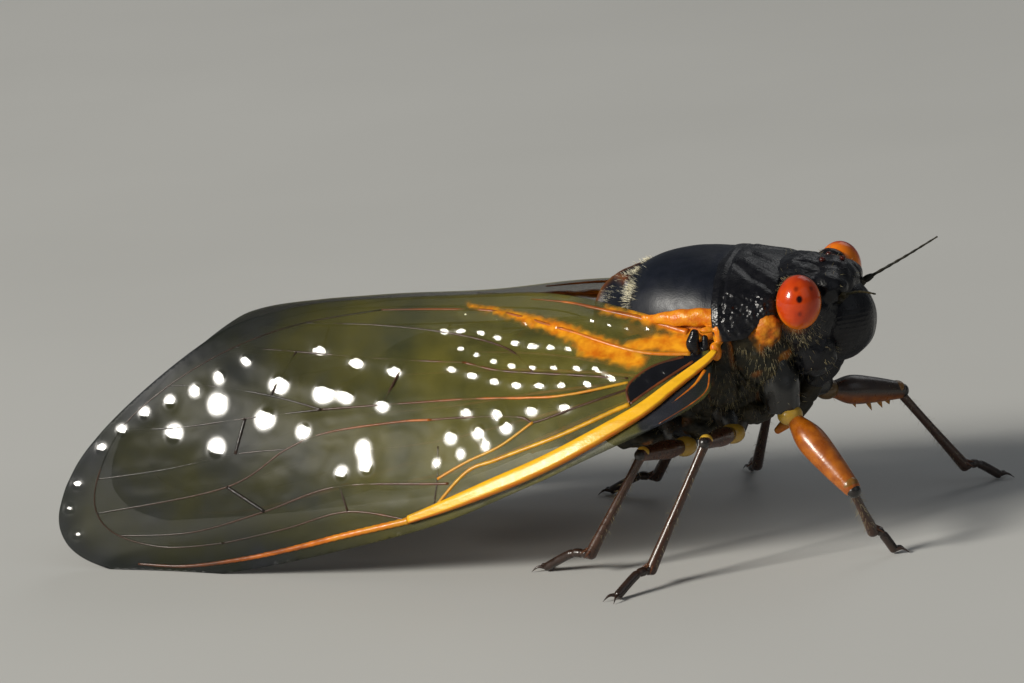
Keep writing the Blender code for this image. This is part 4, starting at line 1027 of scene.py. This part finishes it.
LEGS = {
    # Coxa in the body's frame, then knee, ankle and claws in the floor's frame, and how dark the femur is:
    # its own darker brown on the mid and hind legs, and painted shade on the left fore leg, which lies in
    # the body's shadow
    "fore_right": (
        [(1.8, -2.3, -1), (2, -2.6, -2.2), (2.1, -2.65, -3.3)],
        (5.57, -5, 3.5), (6.1, -3.9, 1.15), (7, -3.4, 0.05), 0,
    ),
    "fore_left": (
        [(1.8, 2.3, -1), (2.1, 2.6, -2.4), (2.25, 2.65, -3.9)],
        (5.5, 5.2, 5.1), (7.8, 7.3, 0.9), (9.35, 8.4, 0.05), 0.95,
    ),
    "mid_right": (
        [(-0.9, -1.5, -3.2), (-0.5, -1.95, -3.9), (-0.4, -2.3, -4.35)],
        (-0.4, -6.2, 6), (-2.9, -8.05, 0.8), (-4.15, -10.1, 0.05), 0.5,
    ),
    "mid_left": (
        [(-0.9, 1.5, -3.2), (-0.5, 1.95, -3.9), (-0.4, 2.3, -4.35)],
        (-0.3, 6.2, 5.9), (-2.3, 8.5, 0.8), (-3.2, 10.7, 0.05), 0.5,
    ),
    "hind_right": (
        [(-3.7, -1.4, -3.5), (-3, -1.9, -4.4), (-2.65, -2.2, -4.8)],
        (-3.5, -5.6, 5.35), (-6.2, -6, 0.95), (-8.9, -5.2, 0.05), 0.5,
    ),
    "hind_left": (
        [(-3.7, 1.4, -3.5), (-3, 1.9, -4.4), (-2.65, 2.2, -4.8)],
        (-3.7, 5.6, 5.25), (-6.6, 6.6, 0.9), (-9.3, 7, 0.05), 0.5,
    ),
}
# How far beyond the coxa the femur starts, and its radii from there to the knee
HIP_REACH = 0.35
FEMUR_RADII = {
    "fore": (0.42, 0.66, 0.58, 0.4), "mid": (0.3, 0.42, 0.36, 0.3), "hind": (0.3, 0.43, 0.36, 0.3),
}


def with_paint(parts):
    """One shape from parts (shape, amber, yellow, dark), and the paint of its points."""
    paint = {}
    for k, word in enumerate(("amber", "yellow", "dark"), 1):
        paint[word] = np.concatenate([np.broadcast_to(part[k], len(part[0][0])) for part in parts])
    return join([part[0] for part in parts]), paint


def thigh(coxa, hip, knee, kind, darkness_and_painted_shade):
    """Coxa, trochanter and femur, with the spines under a fore femur."""
    fore = kind == "fore"
    along = unit(knee - hip)
    radii = FEMUR_RADII[kind]
    coxa_radii = (0.9, 0.93, 0.74) if fore else (0.85, 0.74, 0.48)
    base = limb(sized(coxa, coxa_radii), 28, ends=0.35 if fore else 0.6)
    base = raised(base, waves(base[0], (0.5, 0.5, 2), 65) * 0.03)
    stops = [between(hip, knee, share) for share in (0.15 if fore else 0.05, 0.36, 0.68)]
    femur = limb(sized([*stops, knee + along * 0.05], radii), 28, 0.1)
    share = (femur[0] - hip) @ along / norm(knee - hip)
    below = ramp(hip[2] + (knee - hip)[2] * share - femur[0][:, 2], 0, 0.35)
    trochanter = ball(hip + along * (0.12 if fore else -0.1), (0.56, 0.56, 0.46))
    # Each part: its shape, amber, yellow and dark
    parts = [
        (base, 0, 0, 1),
        # Where the darkness is over 0.9 (the left fore leg), the trochanter's yellow is dimmed as painted
        # shade
        (trochanter, 0.1, 0.2 if darkness_and_painted_shade > 0.9 else 0.8, darkness_and_painted_shade * 0.5),
        # The femur is darkened more on top than below; on the left fore leg this darkening is painted shade
        (femur, ramp(share, 0, 0.12) * (1 if fore else 0.2), 0, darkness_and_painted_shade * (1 - 0.7 * below)),
        (ball(knee - along * 0.05 + (0, 0, 0.04), radii[3] * 1.02), 0.3, 0.15 if fore else 0.9, 0),
        (ball(knee + along * 0.2 - (0, 0, 0.02), radii[3] * 0.82), 0, 0, 0.85),
    ]
    for at, size in ((0.36, 0.42), (0.56, 0.55), (0.72, 0.42), (0.84, 0.26)) if fore else ():
        root = between(hip, knee, at) - (0, 0, radii[2] * 0.7)
        parts.append((spike(root, root + along * size * 0.4 - (0, 0, size), 0.16, 10), 0.6, 0.2, 0))
    return with_paint(parts)


def shin(knee, ankle, kind):
    """Tibia with the spurs round its lower end, and three more along a hind one."""
    along = unit(ankle - knee)
    side = unit(np.cross(along, (0, 0, 1)))
    front = np.cross(along, side)
    stops = knee - along * 0.1, knee + along * 0.5, between(knee, ankle, 0.5), ankle
    tibia = limb(sized(stops, (0.26, 0.2, 0.2, 0.27)), 22, 0.1)
    spurs = []
    for turn in np.radians((-70, -25, 25, 70)):
        out = side * math.sin(turn) - front * math.cos(turn)
        base = ankle - along * 0.3 + out * 0.14
        spurs.append(spike(base, base + along * 0.45 + out * 0.34, 0.075, 8))
    for share in (0.4, 0.55, 0.7) if kind == "hind" else ():
        base = between(knee, ankle, share) + side * 0.12
        spurs.append(spike(base, base + along * 0.3 + side * 0.5, 0.07, 8))
    return with_paint([(tibia, 0.15, 0, 0.51), *((spur, 0.35, 0, 0.39) for spur in spurs)])


def foot(ankle, claws):
    """The arched foot of three joints, with two hooked claws."""
    toe = between(ankle, claws, 0.84)
    low = np.array((*toe[:2], 0.22))
    top = between(ankle, toe, 0.45) + (0, 0, 0.28)
    instep = ankle * 0.62 + top * 0.38 + (0, 0, 0.05)
    path = sized((ankle, instep, top, low), (0.22, 0.21, 0.2, 0.2))
    joints = np.array((0.16, 0.36)) * norm(low - ankle)
    parts = [limb(path, 20, 0.06, ripple=lambda s: 1 - 0.24 * bump(s[:, None], joints, 0.06).sum(1))]
    ahead = unit((*(claws - toe)[:2], 0))
    aside = np.array((-ahead[1], ahead[0], 0))
    for hand in (-1, 1):
        root = low + aside * hand * 0.1 + ahead * 0.08
        tip = low + ahead * 0.62 + aside * hand * 0.34 - (0, 0, 0.19)
        parts.append(spike(root, tip, 0.095, 10, (0, 0, 0.12)))
    points, faces = join(parts)
    points[:, 2] = np.maximum(points[:, 2], 0)
    return (points, faces), {"amber": 0.1, "yellow": 0, "dark": 0.7}


def legs(finish):
    """Each leg in three pieces that close over the gaps of the solids."""
    found = []
    for word, (coxa, knee, ankle, claws, darkness_and_painted_shade) in LEGS.items():
        kind = word.split("_")[0]
        coxa = placed(coxa, BODY_ON_FLOOR)
        knee, ankle, claws = np.array((knee, ankle, claws))
        hip = coxa[-1] + unit(knee - coxa[-1]) * HIP_REACH
        upper_slot = "leg_amber" if kind == "fore" else "leg_brown"
        for part, solid, slot, (shape, paint) in (
            ("upper", "thigh", upper_slot, thigh(coxa, hip, knee, kind, darkness_and_painted_shade)),
            ("lower", "shin", "leg_brown", shin(knee, ankle, kind)),
            ("tarsus", "foot", "leg_brown", foot(ankle, claws)),
        ):
            piece(f"leg_{word}_{part}", shape, finish, FLOOR, paint, [f"leg_{word}_{solid}"])
        found.append((coxa[0], hip, knee, ankle))
    return found


# Hairs


def tufts(name, roots, normals, unwrap, seed, lie, length, width, finish, slot, frame):
    """Bent tapered hairs as solid mesh, each with its own small patch of the bake map at its root."""
    draw = np.random.default_rng(seed)
    count = len(roots)
    lie = np.array(lie)
    out = unit(normals + lie + draw.normal(0, 0.22, (count, 3)))
    size = length * draw.uniform(0.6, 1.2, count)[:, None]
    curl = lie * size * 0.35
    side = unit(np.cross(out, draw.normal(size=(count, 3))))
    across = np.cross(out, side)
    base = roots - out * width
    rings = []
    for share, radius in ((0, 1), (0.5, 0.62)):
        centre = base + out * size * share + curl * share**2
        for turn in (0, 2.1, 4.2):
            rings.append(centre + (side * math.cos(turn) + across * math.sin(turn)) * width * radius)
    points = np.stack([*rings, base + out * size + curl], axis=1).reshape(-1, 3)
    pattern = [(0, 2, 1), (0, 1, 4, 3), (1, 2, 5, 4), (2, 0, 3, 5), (3, 4, 6), (4, 5, 6), (5, 3, 6)]
    faces = [tuple(7 * k + i for i in face) for k in range(count) for face in pattern]
    made = piece(name, (points, faces), finish, frame)
    patch = np.array([(0, 0), (0.5, 0), (1, 0), (0.1, 0.5), (0.5, 0.5), (0.9, 0.5), (0.5, 1)]) * 0.003
    spots = (np.clip(unwrap, 0.01, 0.985)[:, None] + patch).reshape(-1, 2)
    layer = made.data.uv_layers.new(name="OFBake")
    order = np.zeros(len(made.data.loops), np.int32)
    made.data.loops.foreach_get("vertex_index", order)
    layer.data.foreach_set("uv", spots[order].astype(np.float32).ravel())


def body_unwrap(points):
    """The skin rolled flat: along the body, and round it."""
    around = np.arctan2(points[:, 1], points[:, 2] + 0.5) / math.tau + 0.5
    return np.stack([(points[:, 0] + 22) / 30, around], axis=1)


def pick(shape, weight, count, seed):
    """Roots drawn from a skin's points by weight, with their normals."""
    draw = np.random.default_rng(seed)
    weight = np.maximum(weight, 0)
    chosen = draw.choice(len(weight), count, p=weight / weight.sum())
    points = shape[0][chosen] + draw.normal(0, 0.03, (count, 3))
    return points, normals_of(shape)[chosen]


def hair(flank, head, back, cream, golden, limbs):
    x, across, z = axes(flank)
    sides = ramp(across, 1.2, 2.6) * ramp(z, -4.4, -2) * (0.4 + ramp(x, -2, 1)) * ramp(0.2 - z, 0, 0.4)
    x, across, z = axes(head)
    cheeks = bump(x, 3, 0.3) * ramp(across, 2.6, 3.2) + bump(z, -0.1, 0.45) * ramp(across, 2.3, 2.9)
    cheeks += 0.12 * ramp(-z, 0.2, 1.2) * ramp(across, 1, 1.8) + 0.02 * ramp(z, 0.6, 1.6)
    x, across, z = axes(back)
    spots = bump(x, -4.15, 0.16) * bump(across, 1, 0.2)
    spots += 1.3 * bump(x, -4.2, 0.2) * bump(across, 1.95, 0.25)
    spots += 0.1 * bump(x, -4.4, 0.3) * ramp(across, 0.7, 1)
    spots += 0.1 * bump(x, -5.6, 0.3) * ramp(across, 0.6, 1.1)
    spots *= ramp(z, 0.9, 1.3)
    # Each patch: name, skin, weight, count and seed, then how its hairs lie, their length and width
    for name, skin, weight, count, seed, *strands in (
        ("thorax", flank, sides, 1300, 71, (-0.1, 0, -0.9), 0.28, 0.007, golden, "cuticle_dull", BODY),
        ("head", head, cheeks, 1000, 73, (0.1, 0, -0.35), 0.26, 0.008, golden, "cuticle_black", HEAD),
        ("back", back, spots, 1100, 75, (-0.7, 0, 0.1), 0.22, 0.011, cream, "cuticle_black", BODY),
    ):
        roots, normals = pick(skin, weight, count, seed)
        tufts(f"{name}_hairs", roots, normals, body_unwrap(roots), seed + 1, *strands)
    draw = np.random.default_rng(77)
    roots, normals = [], []
    for top, hip, knee, ankle in limbs:
        spans = (top, hip, 0.8, 60), (hip, knee, 0.36, 40), (knee, ankle, 0.21, 110)
        for start, end, radius, count in spans:
            along = unit(end - start)
            for share in draw.uniform(0.05, 0.95, count):
                out = unit(np.cross(along, draw.normal(size=3)))
                roots.append(between(start, end, share) + out * radius)
                normals.append(out + along * 0.5)
    roots, normals = np.array(roots), np.array(normals)
    turn = np.arctan2(normals[:, 1], normals[:, 0]) / math.tau + 0.5
    place = np.stack([roots[:, 2] / 12, turn], axis=1)
    tufts("leg_hairs", roots, normals, place, 78, (0, 0, -0.2), 0.3, 0.006, golden, "leg_brown", FLOOR)


# Floor, light and camera


def floor():
    corners = np.array([(-1, -1, 0), (1, -1, 0), (1, 1, 0), (-1, 1, 0)]) * FLOOR_HALF
    made = shown("floor", mesh_from("floor", (corners, [(0, 1, 2, 3)])))
    look = Look("floor", 0.75)
    look.colour(look.mottled(40, 3, 0.3, 0.7, (0.56, 0.56, 0.54), (0.6, 0.6, 0.58)))
    made.data.materials.append(look.material)


def light(name, azimuth, elevation, distance, size, radiance, colour):
    """A square soft lamp aimed at the insect, with its brightness given as radiance."""
    back = Vector(bearing(azimuth, elevation))
    data = bpy.data.lights.new(name, "AREA")
    data.size = size
    data.energy = math.pi * size * size * radiance
    data.color = colour
    made = shown(name, data)
    made.location = back * distance + LAMP_TARGET
    made.rotation_euler = back.to_track_quat("Z", "Y").to_euler()


def lights():
    # Name, azimuth, elevation, distance and size in metres, radiance and colour
    light("key", KEY_AZIMUTH, KEY_ELEVATION, 0.9, 0.24, 50, (1, 0.96, 0.88))
    light("fill", math.radians(60), math.radians(35), 1, 0.7, 0.3, (0.9, 0.95, 1))
    light("rim", math.radians(170), math.radians(40), 1, 0.5, 0.8, (1, 1, 1))
    world = bpy.data.worlds.new("studio")
    world.use_nodes = True
    sky = world.node_tree.nodes["Background"].inputs
    sky["Color"].default_value = (0.75, 0.8, 0.85, 1)
    sky["Strength"].default_value = 0.13
    bpy.context.scene.world = world
    bpy.context.scene.view_settings.view_transform = "Standard"


def camera():
    """The photograph's view: the wing root falls on its pixel, at the photograph's scale and tilt."""
    back = Vector(bearing(CAMERA_AZIMUTH, CAMERA_ELEVATION))
    level = Vector((math.cos(CAMERA_AZIMUTH), math.sin(CAMERA_AZIMUTH), 0))
    rise = back.cross(level)
    c, s = math.cos(CAMERA_ROLL), math.sin(CAMERA_ROLL)
    right, up = level * c - rise * s, level * s + rise * c
    scale = CAMERA_DISTANCE / FOCAL_PIXELS
    place = WING_ROOT + SHIFT + back * CAMERA_DISTANCE
    place -= right * (WING_ROOT_PIXEL[0] - PICTURE[0] / 2) * scale
    place -= up * (PICTURE[1] / 2 - WING_ROOT_PIXEL[1]) * scale
    data = bpy.data.cameras.new("camera")
    data.sensor_fit = "HORIZONTAL"
    data.sensor_width = SENSOR_WIDTH
    data.lens = SENSOR_WIDTH * FOCAL_PIXELS / PICTURE[0]
    data.clip_start, data.clip_end = 0.01, 20
    made = shown("camera", data)
    made.matrix_world = Matrix.Translation(place * MM) @ Matrix((right, up, back)).transposed().to_4x4()
    bpy.context.scene.camera = made


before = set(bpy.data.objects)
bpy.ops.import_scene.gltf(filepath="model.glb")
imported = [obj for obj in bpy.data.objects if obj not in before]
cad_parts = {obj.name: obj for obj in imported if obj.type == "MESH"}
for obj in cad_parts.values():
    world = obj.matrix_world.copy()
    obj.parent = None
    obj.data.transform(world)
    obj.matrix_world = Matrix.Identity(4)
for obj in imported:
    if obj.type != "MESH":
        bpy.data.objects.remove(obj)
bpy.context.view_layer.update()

# The solids were centred on their own box, so the right eye's place gives the shift between the frames
eye_low, eye_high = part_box("eye_right")
BODY_ON_FLOOR = Matrix.Translation((0, 0, BODY_HEIGHT)) @ Matrix.Rotation(-BODY_PITCH, 4, "Y")
HEAD_ON_BODY = Matrix.Rotation(-HEAD_ROLL, 4, "X")
SHIFT = (eye_low + eye_high) / 2 / MM - BODY_ON_FLOOR @ HEAD_ON_BODY @ EYE_CENTRE
SHIFT.z = 0
FLOOR = Matrix.Translation(SHIFT)
BODY = FLOOR @ BODY_ON_FLOOR
HEAD = BODY @ HEAD_ON_BODY

camera()
floor()
lights()

gloss_black = cuticle("gloss black", (0.004, 0.004, 0.006), (0.01, 0.01, 0.012), 0.2, 0.38, 0.09, 0.01)
blue_black = cuticle("blue black", (0.004, 0.006, 0.012), (0.007, 0.009, 0.017), 0.34, 0.44, 0.07, 0.003)
dull_black = cuticle("dull black", (0.006, 0.006, 0.002), (0.03, 0.022, 0.006), 0.36, 0.6, 0.12, 0.016)
pronotum(gloss_black)
back_plate = mesonotum(blue_black)
flank_shape = flanks(dull_black)
abdomen(dull_black)
head_shape = head_skin(gloss_black)
face_plate(gloss_black)
eyes(eye_finish())
feelers(dull_black)
wings(membrane_finish(), vein_finish(), gloss_black)
limbs = legs(leg_finish())
back_points, back_faces = shape_of(back_plate.data)
back_shape = placed(back_points / MM, BODY.inverted()), back_faces
cream_hair = hair_finish("cream hair", (0.9, 0.85, 0.66), (0.75, 0.68, 0.45))
golden_hair = hair_finish("golden hair", (0.5, 0.42, 0.2), (0.26, 0.2, 0.08))
hair(flank_shape, head_shape, back_shape, cream_hair, golden_hair, limbs)

bpy.context.view_layer.update()
